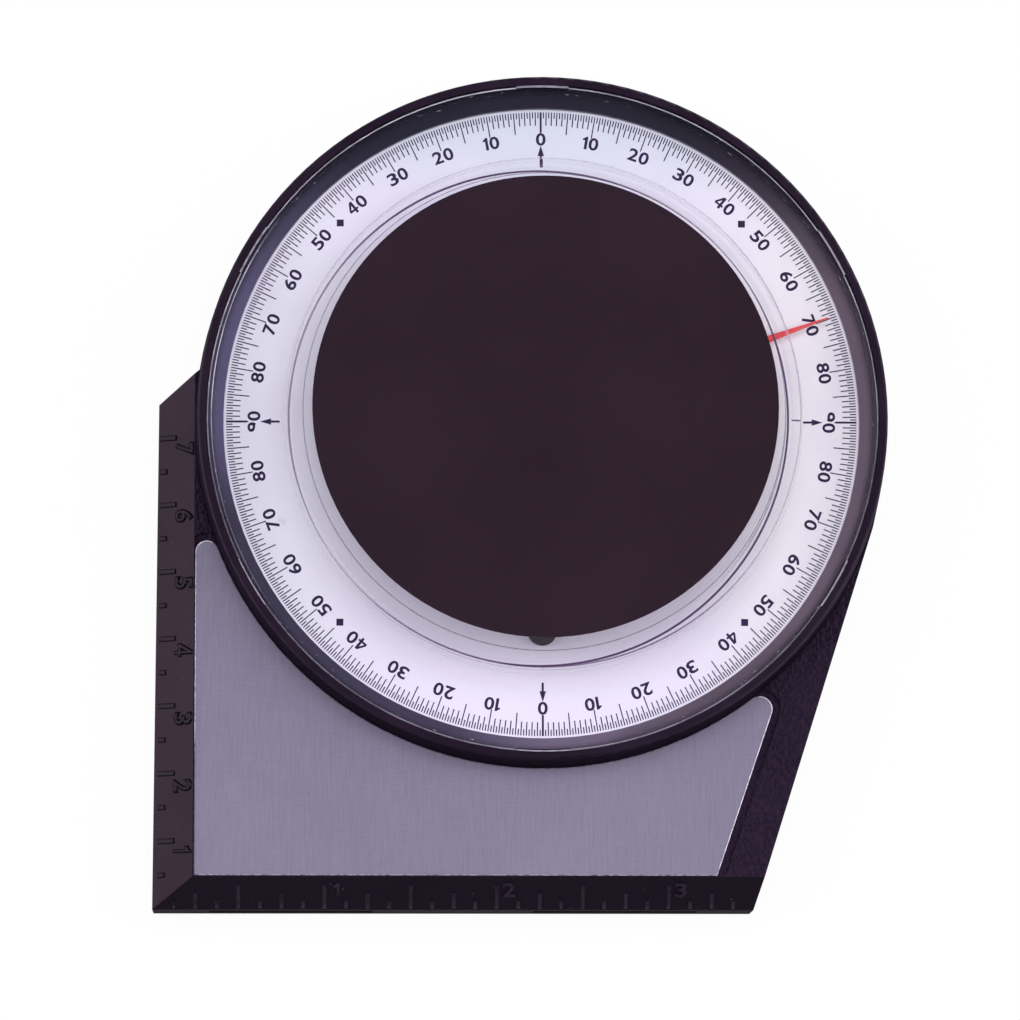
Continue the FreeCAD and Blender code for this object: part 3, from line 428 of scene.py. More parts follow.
def digit_form(digit, height, width, stroke, swell, wall=0.0):
    """One digit about the origin, and its width. A wall slopes out round it."""
    if digit in "14":
        curve = bpy.data.curves.new("digit", "CURVE")
        curve.dimensions = "2D"
        for outline in own_digit_outlines(digit, stroke):
            spline = curve.splines.new("POLY")
            spline.points.add(len(outline) - 1)
            for point, (across, up) in zip(spline.points, outline):
                point.co = (across * DRAWN_HEIGHT, up * DRAWN_HEIGHT, 0.0, 1.0)
            spline.use_cyclic_u = True
    else:
        curve = bpy.data.curves.new("digit", "FONT")
        curve.body = digit
        curve.offset = swell
        curve.resolution_u = 5
    curve.fill_mode = "BOTH"
    curve.bevel_depth = wall
    curve.bevel_resolution = 0
    carrier = bpy.data.objects.new("digit", curve)
    bpy.context.scene.collection.objects.link(carrier)
    bpy.context.view_layer.update()
    flat = bpy.data.meshes.new_from_object(carrier.evaluated_get(bpy.context.evaluated_depsgraph_get()))
    bpy.data.objects.remove(carrier)
    form = bmesh.new()
    form.from_mesh(flat)
    bpy.data.meshes.remove(flat)
    bmesh.ops.remove_doubles(form, verts=form.verts, dist=0.0005)
    bmesh.ops.dissolve_limit(form, angle_limit=0.02, verts=form.verts, edges=form.edges)
    low = [min(v.co[axis] for v in form.verts) for axis in (0, 1)]
    high = [max(v.co[axis] for v in form.verts) for axis in (0, 1)]
    across = width * (ROUND_DIGIT_SHARE if digit == "1" else 1.0)
    bmesh.ops.translate(form, verts=form.verts, vec=(-(low[0] + high[0]) / 2, -(low[1] + high[1]) / 2, 0))
    deep = RULER_DIGIT_RISE / wall if wall else 0.0
    shares = (across / (high[0] - low[0]), height / (high[1] - low[1]), deep)
    bmesh.ops.scale(form, verts=form.verts, vec=shares)
    return form, across


def add_form(whole, form, placing):
    """Moves a form into place and adds it to a larger one."""
    bmesh.ops.transform(form, matrix=placing, verts=form.verts)
    part = bpy.data.meshes.new("part")
    form.to_mesh(part)
    form.free()
    whole.from_mesh(part)
    bpy.data.meshes.remove(part)


def piece_from(form, name, body, slot, *materials):
    """Makes a finished piece that rides on a body."""
    mesh = bpy.data.meshes.new(name)
    form.to_mesh(mesh)
    form.free()
    for material in materials:
        mesh.materials.append(material)
    piece = bpy.data.objects.new(name, mesh)
    bpy.context.scene.collection.objects.link(piece)
    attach(piece, body)
    return piece


inch_numbers = bmesh.new()
for inch in (1, 2, 3):
    spot = Vector((housing_low.x + inch * INCH + INCH_DIGIT_PAST_TICK, BASE_RIDGE - INCH_DIGIT_DOWN_BEVEL,
                   PANEL_TOP - INCH_DIGIT_DOWN_BEVEL * math.tan(BASE_SLOPE)))
    placing = Matrix.Translation(spot) @ Matrix.Rotation(BASE_SLOPE, 4, "X")
    add_form(inch_numbers, digit_form(str(inch), **INCH_DIGIT)[0], placing)
piece_from(inch_numbers, "inch_numbers", "case", "black_case", case_black)
cm_numbers = bmesh.new()
for centimetre in range(1, 8):
    along_edge = centimetre * CENTIMETRE - CM_DIGIT_BEHIND_TICK + CM_DIGIT_SHIFTS.get(centimetre, 0.0)
    spot = Vector((LEFT_RIDGE - CM_DIGIT_DOWN_BEVEL, housing_low.y + along_edge,
                   PANEL_TOP - CM_DIGIT_DOWN_BEVEL * math.tan(LEFT_SLOPE)))
    placing = Matrix.Translation(spot) @ Matrix.Rotation(-LEFT_SLOPE, 4, "Y")
    placing = placing @ Matrix.Rotation(-math.pi / 2, 4, "Z")
    add_form(cm_numbers, digit_form(str(centimetre), **CM_DIGIT)[0], placing)
piece_from(cm_numbers, "cm_numbers", "case", "black_case", case_black)

# The back cover: a flat black moulding let into the case from behind, finely
# sparked so that it doesn't slip. Four bright countersunk screws hold it.
COVER_BLACK = (0.0120, 0.0080, 0.0140)
COVER_BLACK_DUSTY = (0.0180, 0.0130, 0.0200)
COVER_RUBBED = (0.032, 0.026, 0.034)

cover_black, finish = finish_named("cover_black")
where = finish.place()
sparks = finish.speckle(where, 0.25 * MM, 4.0)
cloudy = finish.speckle(where, 12 * MM, 3.0)
rubbed = finish.speckle(where, 3 * MM, 4.0).between(0.62, 0.75)
colour = finish.blend(cloudy.between(0.35, 0.7), COVER_BLACK, COVER_BLACK_DUSTY)
finish.surface(finish.principled({
    "Base Color": finish.blend(rubbed * 0.5, colour, COVER_RUBBED),
    "Roughness": sparks * 0.15 + 0.45,
    "Specular IOR Level": 0.36,
    "Normal": finish.bump(sparks, 0.04 * MM, 0.8),
}))
dress("back_cover", cover_black)


def bare_metal(name, colour, roughness, grain, depth, rim=1.0):
    """Metal with fine tool marks, duller where it is rubbed. Rim is how bright it is edge on."""
    material, finish = finish_named(name)
    where = finish.place()
    marks = finish.speckle(where, grain, 3.0)
    dull = finish.speckle(where, grain * 9, 2.0).between(0.4, 0.7)
    darker = tuple(part * 0.78 for part in colour)
    finish.surface(finish.principled({
        "Base Color": finish.blend(marks * 0.6 + dull * 0.4, colour, darker),
        "Metallic": 1.0,
        "Specular Tint": (rim, rim, rim, 1.0),
        "Roughness": marks * 0.18 + dull * 0.08 + roughness,
        "Normal": finish.bump(marks, depth, 0.5),
    }))
    return material


screw_steel = bare_metal(
    "screw_steel", colour=(0.60, 0.60, 0.62), roughness=0.25, grain=0.22 * MM, depth=0.006 * MM)
dress("cover_screws", screw_steel)

# The magnets in the base: two grey-black ferrite blocks, ground on their
# faces, each between two pole plates of phosphated steel.
FERRITE_DARK = (0.018, 0.018, 0.020)
FERRITE_PALE = (0.062, 0.060, 0.064)

ferrite, finish = finish_named("ferrite")
where = finish.place()
pits = finish.speckle(where, 0.4 * MM, 4.0)
grinding = finish.node("ShaderNodeMapping", {}, {"Vector": where, "Scale": (0.05, 1.0, 1.0)})[0]
lines = finish.speckle(grinding, 0.15 * MM, 2.0)
finish.surface(finish.principled({
    "Base Color": finish.blend(pits * 0.6 + lines * 0.4, FERRITE_DARK, FERRITE_PALE),
    "Roughness": pits * 0.2 + 0.5,
    "Normal": finish.bump(pits + lines, 0.02 * MM, 0.7),
}))
dress("base_magnets", ferrite)
pole_steel = bare_metal(
    "pole_steel", colour=(0.080, 0.075, 0.085), roughness=0.50, grain=0.30 * MM, depth=0.008 * MM, rim=0.2)
dress("pole_plates", pole_steel)

# The foot's plate: thin anodised aluminium with a fine vertical brushing, cut
# out and stuck down in its recess. It is bare. Its cut edge carries a painted
# highlight, broken by nicks, which gives way to painted shade low at the left, by
# the rim and at the foot.
PLATE_SILVER = (0.272, 0.240, 0.350)
PLATE_SILVER_DARK = (0.225, 0.200, 0.300)
PLATE_EDGE_WIDTH = 0.13 * MM
PLATE_EDGE_DROP = 0.06 * MM
EDGE_PAINTED_HIGHLIGHT = (0.82, 0.78, 0.93)
EDGE_PAINTED_SHADE = (0.16, 0.13, 0.20)
LEFT_EDGE = (LEFT_RIDGE + 0.53 * MM, LEFT_RIDGE + 0.93 * MM)
LOW_HALF = (BASE_RIDGE + 17.67 * MM, BASE_RIDGE + 21.67 * MM)
FOOT_EDGE = (BASE_RIDGE + 0.87 * MM, BASE_RIDGE + 1.67 * MM)
EDGE_BY_RIM = (CASE_RADIUS + 0.5 * MM, CASE_RADIUS + 0.7 * MM)

brushed_silver, finish = finish_named("brushed_silver")
where = finish.place()
stretched = finish.node("ShaderNodeMapping", {}, {"Vector": where, "Scale": (1.0, 0.05, 1.0)})[0]
strokes = finish.speckle(stretched, 0.26 * MM, 3.0)
crossed = finish.node("ShaderNodeMapping", {}, {"Vector": where, "Scale": (0.08, 1.0, 1.0)})[0]
weft = finish.speckle(crossed, 0.30 * MM, 2.0)
specks = finish.speckle(where, 0.30 * MM, 2.0)
cloudy = finish.speckle(where, 20 * MM, 2.0)
share = strokes * 0.42 + weft * 0.14 + specks * 0.26 + cloudy * 0.18
finish.surface(finish.principled({
    "Base Color": finish.blend(share.between(0.36, 0.64), PLATE_SILVER_DARK, PLATE_SILVER),
    "Metallic": 0.25,
    "Roughness": strokes * 0.2 + 0.42,
    "Specular IOR Level": 0.3,
    "Normal": finish.bump(strokes + weft * 0.3, 0.008 * MM, 0.6),
}))
plate_edge_highlight, finish = finish_named("plate_edge_highlight")
where = finish.place()
x, y, z = finish.axes(where)
nicks = finish.speckle(where, 0.9 * MM, 3.0).between(0.42, 0.62)
low_left = (1.0 - x.between(*LEFT_EDGE)) * (1.0 - y.between(*LOW_HALF))
by_rim = 1.0 - (x * x + y * y).between(*squared(EDGE_BY_RIM))
at_foot = 1.0 - y.between(*FOOT_EDGE)
# The painted highlight gives way to painted shade low at the left, by the rim and at the foot, and to the
# nicks' darker colour.
shaded_and_nicked = (nicks * 0.45 + low_left * 0.9 + by_rim * 0.85 + at_foot * 0.55).clamped()
finish.surface(finish.principled({
    "Base Color": finish.blend(shaded_and_nicked, EDGE_PAINTED_HIGHLIGHT, EDGE_PAINTED_SHADE),
    "Roughness": nicks * 0.2 + 0.35,
}))
foot_plate = bmesh.new()
foot_plate.from_mesh(nodes["panel_plate"].data)
bmesh.ops.remove_doubles(foot_plate, verts=foot_plate.verts, dist=0.001 * MM)
bmesh.ops.dissolve_limit(
    foot_plate, angle_limit=math.radians(0.5), verts=foot_plate.verts, edges=foot_plate.edges)
face_up = [face for face in foot_plate.faces if face.normal.z > 0.99]
edge_faces = bmesh.ops.inset_region(
    foot_plate, faces=face_up, thickness=PLATE_EDGE_WIDTH, depth=0.0, use_even_offset=True)["faces"]
inner = {vert for face in face_up for vert in face.verts}
corners = {vert for face in edge_faces for vert in face.verts} - inner
bmesh.ops.translate(foot_plate, verts=list(corners), vec=(0, 0, -PLATE_EDGE_DROP))
for face in edge_faces:
    face.material_index = 1
foot_plate_piece = piece_from(foot_plate, "foot_plate", "case", "silver_plate", brushed_silver, plate_edge_highlight)
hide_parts("panel_plate")

# The dial: a white lacquered disc, screwed to its seat. Through the years it
# has taken a few faint smudges. It is painted darker round the top as painted
# shade, and paler at its left and right sides, bluer at the left and warmer at
# the right, as painted light.
DIAL_LOW = (0.835, 0.765, 0.960)
DIAL_TOP_PAINTED_SHADE = (0.640, 0.655, 0.785)
DIAL_LEFT_PAINTED_LIGHT = (0.880, 0.850, 0.998)
DIAL_RIGHT_PAINTED_LIGHT = (0.930, 0.885, 0.985)
DIAL_CLOUD = (0.780, 0.720, 0.900)
SHADED_TOP_REACH = (27 * MM, 44 * MM)
LEFT_TO_RIGHT = (-30 * MM, 30 * MM)
OUT_TO_SIDES = (15 * MM, 38 * MM)
SMUDGE = (0.62, 0.55, 0.62)
SMUDGE_PLACE = Vector((-38.6 * MM, -14.9 * MM, DIAL_FACE))
SMUDGE_REACH = (0.2 * MM, 1.3 * MM)

dial_white, finish = finish_named("dial_white")
where = finish.place()
x, y, z = finish.axes(where)
cloudy = finish.speckle(where, 14 * MM, 3.0)
fine = finish.speckle(where, 0.15 * MM, 2.0)
away = finish.node("ShaderNodeVectorMath", {"operation": "DISTANCE"}, {0: where, 1: SMUDGE_PLACE})["Value"]
smudge = (1.0 - away.between(*SMUDGE_REACH)) * finish.speckle(where, 0.7 * MM, 3.0).between(0.35, 0.6)
spots = finish.speckle(where, 0.5 * MM, 1.0).between(0.765, 0.80)
# Painted shade darkens the top; painted light makes the sides paler, bluer at the left and warmer at the
# right.
middle = finish.blend(y.between(*SHADED_TOP_REACH), DIAL_LOW, DIAL_TOP_PAINTED_SHADE)
sides = finish.blend(x.between(*LEFT_TO_RIGHT), DIAL_LEFT_PAINTED_LIGHT, DIAL_RIGHT_PAINTED_LIGHT)
colour = finish.blend((x * x).between(*squared(OUT_TO_SIDES)), middle, sides)
colour = finish.blend(cloudy.between(0.4, 0.75) * 0.4, colour, DIAL_CLOUD)
finish.surface(finish.principled({
    "Base Color": finish.blend((smudge * 0.45 + spots * 0.35).clamped(), colour, SMUDGE),
    "Roughness": fine * 0.1 + 0.5,
    "Specular IOR Level": 0.3,
    "Normal": finish.bump(fine, 0.003 * MM, 0.4),
}))
dress("dial_plate", dial_white)

# The dial's print: graduations of half a degree, plain numbers, four arrows and
# four square markers, in dark violet-blue ink that lies flat on the white.
INK = (0.026, 0.014, 0.060)
INK_THIN = (0.060, 0.042, 0.110)
INK_SHEEN = (0.8, 0.6, 1.0, 1.0)
INK_LEVEL = DIAL_FACE + 0.02 * MM
SECOND_INK_RISE = 0.004 * MM
DIAL_TURN = math.radians(0.095)
TICK_OUTER = 46.9 * MM
HALF_DEGREE_INNER = 45.95 * MM
DEGREE_INNER = 44.85 * MM
FIVE_DEGREE_INNER = 43.6 * MM
ZERO_INNER = 43.8 * MM
TICK_WIDTH = 0.17 * MM
ZERO_WIDTH = 0.30 * MM
NUMBER_CIRCLE = 42.77 * MM
DIAL_DIGIT = {"height": 1.92 * MM, "width": 1.46 * MM, "stroke": 0.19, "swell": 0.024}
DIGIT_GAP = 0.20 * MM
ARROW_TIP = 41.85 * MM
ARROW_HEAD = 1.62 * MM
ARROW_HALF_WIDTH = 0.48 * MM
ARROW_END = 38.95 * MM
ARROW_STEM_WIDTH = 0.32 * MM
MARKER_CIRCLE = 42.4 * MM
MARKER_HALF = 0.52 * MM
DEGREES_ROUND = 360
DEGREES_A_NUMBER = 10
QUARTERS = 4

dial_ink, finish = finish_named("dial_ink")
where = finish.place()
patchy = finish.speckle(where, 0.25 * MM, 2.0)
finish.surface(finish.principled({
    "Base Color": finish.blend(patchy.between(0.5, 0.8), INK, INK_THIN),
    "Roughness": patchy * 0.15 + 0.45,
    "Specular IOR Level": 0.12,
    "Specular Tint": INK_SHEEN,
}))


def printed_ring(whole, inner, outer, width, count):
    """Equal printed lines along radii, count of them round the dial."""
    middle = Matrix.Translation(((inner + outer) / 2, 0, INK_LEVEL))
    shape = Matrix.Diagonal((outer - inner, width, 1.0, 1.0))
    placing = Matrix.Rotation(DIAL_TURN, 4, "Z") @ middle @ shape
    line = bmesh.ops.create_grid(whole, x_segments=1, y_segments=1, size=0.5, matrix=placing)
    faces = list({face for vert in line["verts"] for face in vert.link_faces})
    bmesh.ops.spin(
        whole, geom=faces, cent=(0, 0, 0), axis=(0, 0, 1), angle=math.tau * (count - 1) / count,
        steps=count - 1, use_duplicate=True)


graduations = bmesh.new()
printed_ring(graduations, HALF_DEGREE_INNER, TICK_OUTER, TICK_WIDTH, DEGREES_ROUND * 2)
printed_ring(graduations, DEGREE_INNER, HALF_DEGREE_INNER, TICK_WIDTH, DEGREES_ROUND)
printed_ring(graduations, FIVE_DEGREE_INNER, DEGREE_INNER, TICK_WIDTH, DEGREES_ROUND // 5)
zero_lines = bmesh.new()
shoulder = ARROW_TIP - ARROW_HEAD
printed_ring(zero_lines, ZERO_INNER, TICK_OUTER, ZERO_WIDTH, QUARTERS)
printed_ring(zero_lines, ARROW_END, shoulder, ARROW_STEM_WIDTH, QUARTERS)
for quarter in range(QUARTERS):
    spin = Matrix.Rotation(math.tau * quarter / QUARTERS + DIAL_TURN, 4, "Z")
    head = [(shoulder, -ARROW_HALF_WIDTH), (ARROW_TIP, 0.0), (shoulder, ARROW_HALF_WIDTH)]
    zero_lines.faces.new([zero_lines.verts.new(spin @ Vector((x, y, INK_LEVEL))) for x, y in head])
    spin = Matrix.Rotation(math.tau * (quarter + 0.5) / QUARTERS + DIAL_TURN, 4, "Z")
    placing = Matrix.Translation(spin @ Vector((MARKER_CIRCLE, 0, INK_LEVEL)))
    bmesh.ops.create_grid(zero_lines, x_segments=1, y_segments=1, size=MARKER_HALF, matrix=placing)
add_form(graduations, zero_lines, Matrix.Translation((0, 0, SECOND_INK_RISE)))
piece_from(graduations, "dial_graduations", "case", "cap_black", dial_ink)

dial_numbers = bmesh.new()
for turned in range(0, DEGREES_ROUND, DEGREES_A_NUMBER):
    reading = abs((turned + 90) % 180 - 90)
    digits = [digit_form(digit, **DIAL_DIGIT) for digit in str(reading)]
    left = -(sum(width for form, width in digits) + DIGIT_GAP * (len(digits) - 1)) / 2
    spin = Matrix.Rotation(math.radians(-turned) + DIAL_TURN, 4, "Z")
    for form, width in digits:
        add_form(dial_numbers, form, spin @ Matrix.Translation((left + width / 2, NUMBER_CIRCLE, INK_LEVEL)))
        left += width + DIGIT_GAP
piece_from(dial_numbers, "dial_numbers", "case", "cap_black", dial_ink)

# The ring that holds the dial down: a grey moulding under the lens's edge, with
# a smooth sloping face. Painted shade makes it darker towards the dial's top
# zero, round its outer edge and at the lower left and lower right, and a painted
# light tint makes it bluer at the left and warmer at the right.
RING_LEFT = (0.098, 0.088, 0.185)
RING_RIGHT = (0.138, 0.100, 0.142)
RING_LEFT_PALE = (0.138, 0.118, 0.230)
RING_RIGHT_PALE = (0.178, 0.130, 0.185)
RING_LOW_PAINTED_SHADE = (0.022, 0.018, 0.036)
RING_OUTER_PAINTED_SHADE = (0.016, 0.012, 0.026)
RING_TOP_PAINTED_SHADE = (0.006, 0.006, 0.016)
RING_SHEEN = (0.92, 0.86, 1.0, 1.0)
LOW_LEFT_WAY = math.radians(225)
LOW_LEFT_REACH = (34 * MM, 44 * MM)
LOW_RIGHT_WAY = math.radians(300)
LOW_RIGHT_REACH = (44 * MM, 48 * MM)
TOP_REACH = (12 * MM, 44 * MM)
OUTER_REACH = (48.2 * MM, 49.4 * MM)


def out_along(x, y, way):
    """How far out a place lies along a way, turned from the dial's right."""
    return x * math.cos(way) + y * math.sin(way)


retainer_grey, finish = finish_named("retainer_grey")
where = finish.place()
x, y, z = finish.axes(where)
cloudy = finish.speckle(where, 6 * MM, 3.0)
fine = finish.speckle(where, 0.3 * MM, 2.0)
# A painted light tint: bluer at the left, warmer at the right.
across = x.between(*LEFT_TO_RIGHT)
dim = finish.blend(across, RING_LEFT, RING_RIGHT)
pale = finish.blend(across, RING_LEFT_PALE, RING_RIGHT_PALE)
colour = finish.blend(cloudy, dim, pale)
# Painted shade at the lower left, the lower right, round the outer edge and towards the top.
low_left = out_along(x, y, LOW_LEFT_WAY).between(*LOW_LEFT_REACH)
colour = finish.blend(low_left * 0.75, colour, RING_LOW_PAINTED_SHADE)
low_right = out_along(x, y, LOW_RIGHT_WAY).between(*LOW_RIGHT_REACH)
colour = finish.blend(low_right * 0.35, colour, RING_LOW_PAINTED_SHADE)
by_edge = (x * x + y * y).between(*squared(OUTER_REACH))
colour = finish.blend(by_edge * 0.6, colour, RING_OUTER_PAINTED_SHADE)
finish.surface(finish.principled({
    "Base Color": finish.blend(y.between(*TOP_REACH) * 0.94, colour, RING_TOP_PAINTED_SHADE),
    "Roughness": cloudy * 0.12 + fine * 0.06 + 0.25,
    "Specular IOR Level": 0.28,
    "Specular Tint": RING_SHEEN,
    "Normal": finish.bump(fine, 0.006 * MM, 0.5),
}))
dress("dial_retaining_ring", retainer_grey)

# The two screws that hold the dial, with blackened heads. The lower one just
# shows under the cap's edge.
BLUED_STEEL = (0.010, 0.005, 0.015)
BLUED_STEEL_PALE = (0.020, 0.012, 0.028)

blued_steel, finish = finish_named("blued_steel")
where = finish.place()
marks = finish.speckle(where, 0.3 * MM, 3.0)
finish.surface(finish.principled({
    "Base Color": finish.blend(marks, BLUED_STEEL, BLUED_STEEL_PALE),
    "Roughness": marks * 0.15 + 0.38,
    "Specular IOR Level": 0.4,
    "Normal": finish.bump(marks, 0.006 * MM, 0.5),
}))
dress("dial_screws", blued_steel)

# The lens: clear acrylic, moulded in one and polished. Light passes through it
# to the dial, so it casts almost no shadow. Edge on it grows a little more opaque
# in its pale tint, a painted stand-in for its reflection. Dark lines of refraction
# are painted on it round its moulded corners, and where its foot and the arrow
# stems are seen through the drum's sloping step. Its edge has scuffs, with a
# painted highlight along it, an extra bright line at the left, fainter low down.
LENS_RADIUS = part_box("lens")[1].x
FLANGE_TOP = 17.5 * MM
OUTER_FOOT = {"radius": 38.32 * MM, "height": FLANGE_TOP, "wide": 0.20 * MM}
STEP_CORNER = {"radius": 37.9 * MM, "height": 22.79 * MM, "wide": 0.36 * MM}
LEDGE_CORNER = {"radius": 35.4 * MM, "height": 23.49 * MM, "wide": 0.20 * MM}
INNER_SCRATCH_GLINT = {"radius": LENS_RADIUS - 0.70 * MM, "height": FLANGE_TOP, "wide": 0.10 * MM}
STEP_FOOT_HEIGHT = (22.50 * MM, 22.70 * MM)
STEP_TOP_HEIGHT = (23.55 * MM, 23.70 * MM)
WALL_LINE_HEIGHT = 20.4 * MM
WALL_LINE_FADE = (0.3 * MM, 0.6 * MM)
DRUM_WALL_RADIUS = (37.3 * MM, 37.5 * MM)
FOOT_SEEN = {"centre": (-0.875 * MM, -0.98 * MM), "half": (36.68 * MM, 36.70 * MM), "wide": 0.22 * MM}
FOOT_SEEN_TWICE = {"centre": (-0.875 * MM, -0.50 * MM), "half": (36.33 * MM, 36.20 * MM), "wide": 0.16 * MM}
STEM_SEEN_AT_RIGHT = {"place": -1.3 * MM, "wide": 0.26 * MM}
STEM_SEEN_AT_TOP = {"place": -0.4 * MM, "wide": 0.50 * MM}
STEM_INNER = (36.2 * MM, 36.4 * MM)
STEM_OUTER = (37.6 * MM, 37.8 * MM)
SCUFF_AND_GLINT_EDGE = (LENS_RADIUS - 0.23 * MM, LENS_RADIUS - 0.20 * MM)
SCUFF_AND_GLINT_HEIGHT = (FLANGE_TOP - 0.50 * MM, FLANGE_TOP - 0.35 * MM)
CHIP_AND_GLINT_BAND = (LENS_RADIUS - 1.1 * MM, LENS_RADIUS - 0.9 * MM)
SCRATCH_NARROWING = 6.0
SCRATCH_FLATTENING = 3.0
LEFT_SIDE_ENDS = (-34 * MM, -18 * MM)
RIGHT_SIDE_STARTS = (20 * MM, 36 * MM)
LOW_SIDE_STARTS = (18 * MM, 34 * MM)
SCUFF_AND_GLINT_FADE = (-12 * MM, 8 * MM)
SCRATCH_GLINT_STARTS = (38 * MM, 46 * MM)
PAINTED_REFRACTION_DARK = (0.050, 0.018, 0.085)
CLEAR_TINT = (0.84, 0.76, 0.96)
SCUFF_AND_GLINT_WHITE = (0.90, 0.87, 1.0)


def corner_line(radius, height, corner):
    """One along a line round the lens, given by its radius, height and width."""
    out = radius - corner["radius"]
    up = height - corner["height"]
    return 1.0 - ((out * out + up * up) ** 0.5).between(corner["wide"] * 0.5, corner["wide"])


def seen_foot(x, y, line):
    """One along an oval line round the drum's sloping step: a painted refraction line of the foot."""
    across = (x - line["centre"][0]) * (1.0 / line["half"][0])
    along = (y - line["centre"][1]) * (1.0 / line["half"][1])
    away = ((across * across + along * along) ** 0.5 - 1.0).math("ABSOLUTE") * line["half"][0]
    return 1.0 - away.between(line["wide"] * 0.5, line["wide"])


def seen_stem(across, out, stem):
    """One on a short stroke across the step: a painted refraction of an arrow's stem seen through it."""
    away = (across - stem["place"]).math("ABSOLUTE")
    return (1.0 - away.between(stem["wide"] * 0.4, stem["wide"] * 0.6)) * out.band(STEM_INNER, STEM_OUTER)


lens_clear, finish = finish_named("lens_clear")
where = finish.place()
x, y, z = finish.axes(where)
radius = (x * x + y * y) ** 0.5
angle = y.math("ARCTAN2", x)
haze = finish.speckle(where, 8 * MM, 2.0)
tilt = finish.node("ShaderNodeLayerWeight", {}, {"Blend": 0.5})["Facing"]
past_left = x.between(*LEFT_SIDE_ENDS)
far_right = x.between(*RIGHT_SIDE_STARTS)
near_base = (-1.0 * y).between(*LOW_SIDE_STARTS)
foot = seen_foot(x, y, FOOT_SEEN) * (past_left * 0.2 + 0.75)
foot_again = seen_foot(x, y, FOOT_SEEN_TWICE) * (past_left * 0.5 + 0.15) * (1.0 - near_base)
right_stem = seen_stem(y, x, STEM_SEEN_AT_RIGHT) * 0.85
top_stem = seen_stem(x, y, STEM_SEEN_AT_TOP) * 0.9
on_step = foot.or_more(foot_again).or_more(right_stem).or_more(top_stem)
on_step = on_step * z.band(STEP_FOOT_HEIGHT, STEP_TOP_HEIGHT)
wall_line = 1.0 - (z - WALL_LINE_HEIGHT).math("ABSOLUTE").between(*WALL_LINE_FADE)
wall_line = wall_line * radius.between(*DRUM_WALL_RADIUS) * near_base * 0.6
step_line = corner_line(radius, z, STEP_CORNER) * (near_base * 0.38 + far_right * 0.12 + 0.42)
foot_line = corner_line(radius, z, OUTER_FOOT) * 0.22
ledge_line = corner_line(radius, z, LEDGE_CORNER) * 0.70
lines = on_step.or_more(wall_line).or_more(step_line).or_more(foot_line).or_more(ledge_line)
unrolled = {0: angle * LENS_RADIUS, 1: radius * SCRATCH_NARROWING, 2: z * SCRATCH_FLATTENING}
round_edge = finish.node("ShaderNodeCombineXYZ", {}, unrolled)[0]
broken = finish.speckle(round_edge, 5 * MM, 4.0).between(0.38, 0.66)
by_edge = radius.between(*SCUFF_AND_GLINT_EDGE) * z.between(*SCUFF_AND_GLINT_HEIGHT)
chips_and_glints = finish.speckle(round_edge, 1.1 * MM, 2.0).between(0.70, 0.74) * radius.between(*CHIP_AND_GLINT_BAND)
low_down = (-1.0 * y).between(*SCUFF_AND_GLINT_FADE)
at_left = (-1.0 * x).between(*SCRATCH_GLINT_STARTS)
# The edge's scuffs carry a painted highlight: a bright line along the edge that fades low down, small glints
# in a band inside it, and a bright line further in at the left.
scuffs_and_glints = by_edge * (broken * 0.5 + 0.5) * (1.0 - low_down * 0.55) + chips_and_glints * 0.5
scratch_glint = corner_line(radius, z, INNER_SCRATCH_GLINT) * at_left * (1.0 - low_down * 0.7)
scuffs_and_glints = (scuffs_and_glints + scratch_glint * (broken * 0.5 + 0.4)).clamped()
# The dark lines are painted refraction, drawn into the colour and the opacity.
colour = finish.blend(lines * 1.2, CLEAR_TINT, PAINTED_REFRACTION_DARK)
finish.surface(finish.principled({
    "Base Color": finish.blend(scuffs_and_glints, colour, SCUFF_AND_GLINT_WHITE),
    "Roughness": haze * 0.04 + scuffs_and_glints * 0.3 + 0.03,
    # Edge on the lens grows more opaque in its pale tint: a painted stand-in for its reflection.
    "Alpha": (tilt ** 4.0 * 0.12 + 0.006).or_more(lines).or_more(scuffs_and_glints),
}))
dress("lens", lens_clear)

# The centre cap: a thin disc with a black screen-printed face, stuck on the
# drum's top. Its face is bare.
CAP_BLACK = (0.0140, 0.0060, 0.0125)
CAP_BLACK_PALE = (0.0200, 0.0100, 0.0185)
CAP_SHEEN = (1.0, 0.85, 1.0, 1.0)
SCREEN_PITCH = 0.34 * MM

cap_black, finish = finish_named("cap_black")
where = finish.place()
x, y, z = finish.axes(where)
mesh_x = (x * (math.tau / SCREEN_PITCH)).math("SINE")
mesh_y = (y * (math.tau / SCREEN_PITCH)).math("SINE")
weave = mesh_x * mesh_y * 0.5 + 0.5
fine = finish.speckle(where, 0.30 * MM, 2.0)
cloudy = finish.speckle(where, 22 * MM, 2.0)
share = (weave * 0.25 + fine * 0.4 + cloudy * 0.5).between(0.40, 0.75)
finish.surface(finish.principled({
    "Base Color": finish.blend(share, CAP_BLACK, CAP_BLACK_PALE),
    "Roughness": cloudy * 0.1 + fine * 0.05 + 0.42,
    "Specular IOR Level": 0.32,
    "Specular Tint": CAP_SHEEN,
    "Normal": finish.bump(weave * 0.5 + fine, 0.006 * MM, 0.5),
}))
dress("centre_cap", cap_black)

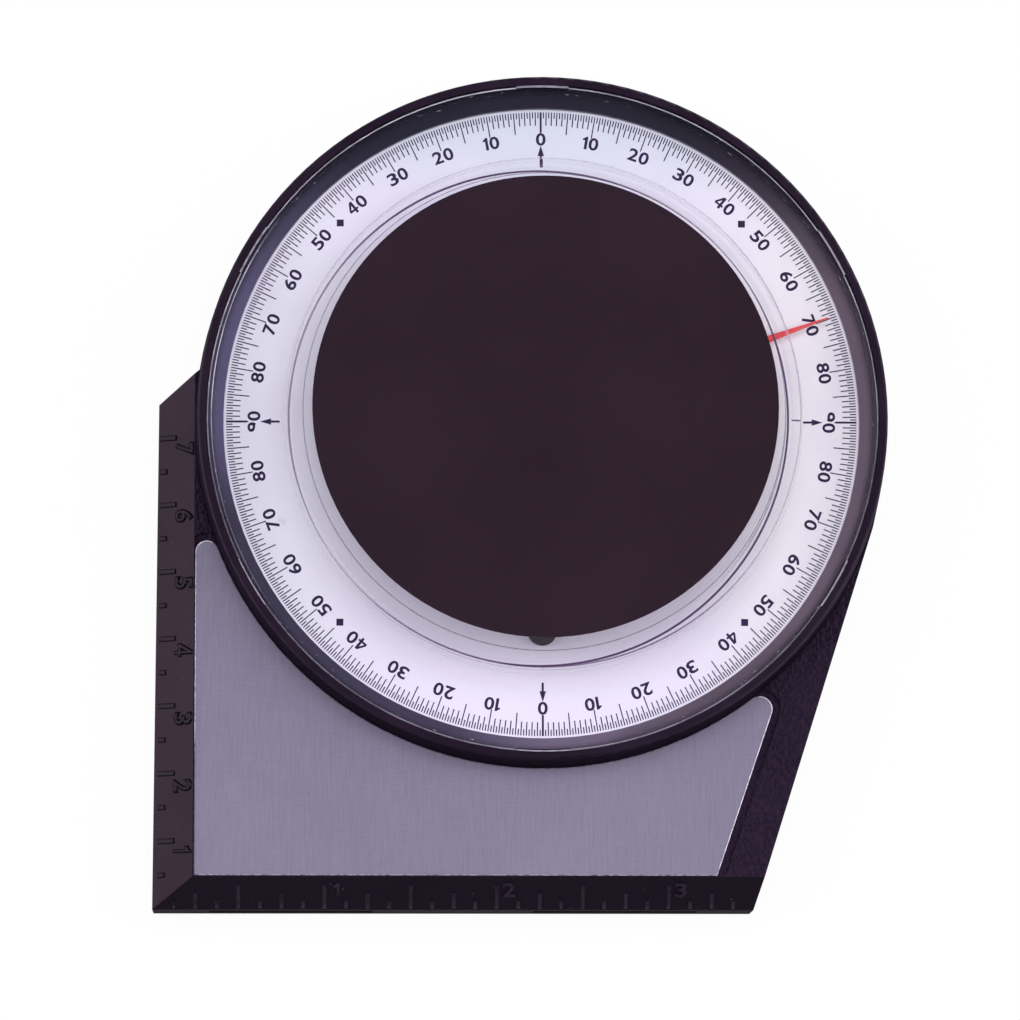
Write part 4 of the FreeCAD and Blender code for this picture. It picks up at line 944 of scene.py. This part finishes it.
# The bearings: turned brass bushes, one in the case and one in the lens, with
# a thin white washer at each end of the arbor.
WASHER_WHITE = (0.78, 0.78, 0.74)
WASHER_WHITE_PALE = (0.88, 0.88, 0.85)

turned_brass = bare_metal(
    "turned_brass", colour=(0.78, 0.60, 0.30), roughness=0.20, grain=0.3 * MM, depth=0.005 * MM)
dress("rear_bearing", turned_brass)
dress("front_bearing", turned_brass)
washer_white, finish = finish_named("washer_white")
where = finish.place()
waxy = finish.speckle(where, 0.5 * MM, 3.0)
finish.surface(finish.principled({
    "Base Color": finish.blend(waxy, WASHER_WHITE, WASHER_WHITE_PALE),
    "Roughness": waxy * 0.15 + 0.35,
    "Normal": finish.bump(waxy, 0.004 * MM, 0.5),
}))
dress("thrust_washers", washer_white)

# The pointer's movement: a ground steel arbor, a brass hub, spacer and collar,
# and a stamped steel arm that carries a cast weight on two rivets.
ground_steel = bare_metal(
    "ground_steel", colour=(0.66, 0.66, 0.68), roughness=0.16, grain=0.18 * MM, depth=0.004 * MM)
stamped_steel = bare_metal(
    "stamped_steel", colour=(0.55, 0.56, 0.60), roughness=0.30, grain=0.35 * MM, depth=0.008 * MM)
cast_grey = bare_metal(
    "cast_grey", colour=(0.40, 0.40, 0.43), roughness=0.42, grain=0.5 * MM, depth=0.02 * MM)
dress("pivot_arbor", ground_steel)
for name in ("pointer_hub", "needle_spacer", "hub_collar"):
    dress(name, turned_brass)
dress("pendulum_arm", stamped_steel)
dress("weight_rivets", stamped_steel)
dress("pendulum_weight", cast_grey)

# The needle: a thin tapering strip enamelled red, with patches of thinner paint.
NEEDLE_RED = (0.82, 0.075, 0.085)
NEEDLE_RED_THIN = (0.66, 0.045, 0.055)
needle_red, finish = finish_named("needle_red")
where = finish.place()
brushed = finish.speckle(where, 0.5 * MM, 3.0)
finish.surface(finish.principled({
    "Base Color": finish.blend(brushed.between(0.4, 0.7), NEEDLE_RED, NEEDLE_RED_THIN),
    "Roughness": brushed * 0.1 + 0.35,
    "Normal": finish.bump(brushed, 0.004 * MM, 0.5),
    "Coat Weight": 0.3,
}))
dress("pointer_needle", needle_red)
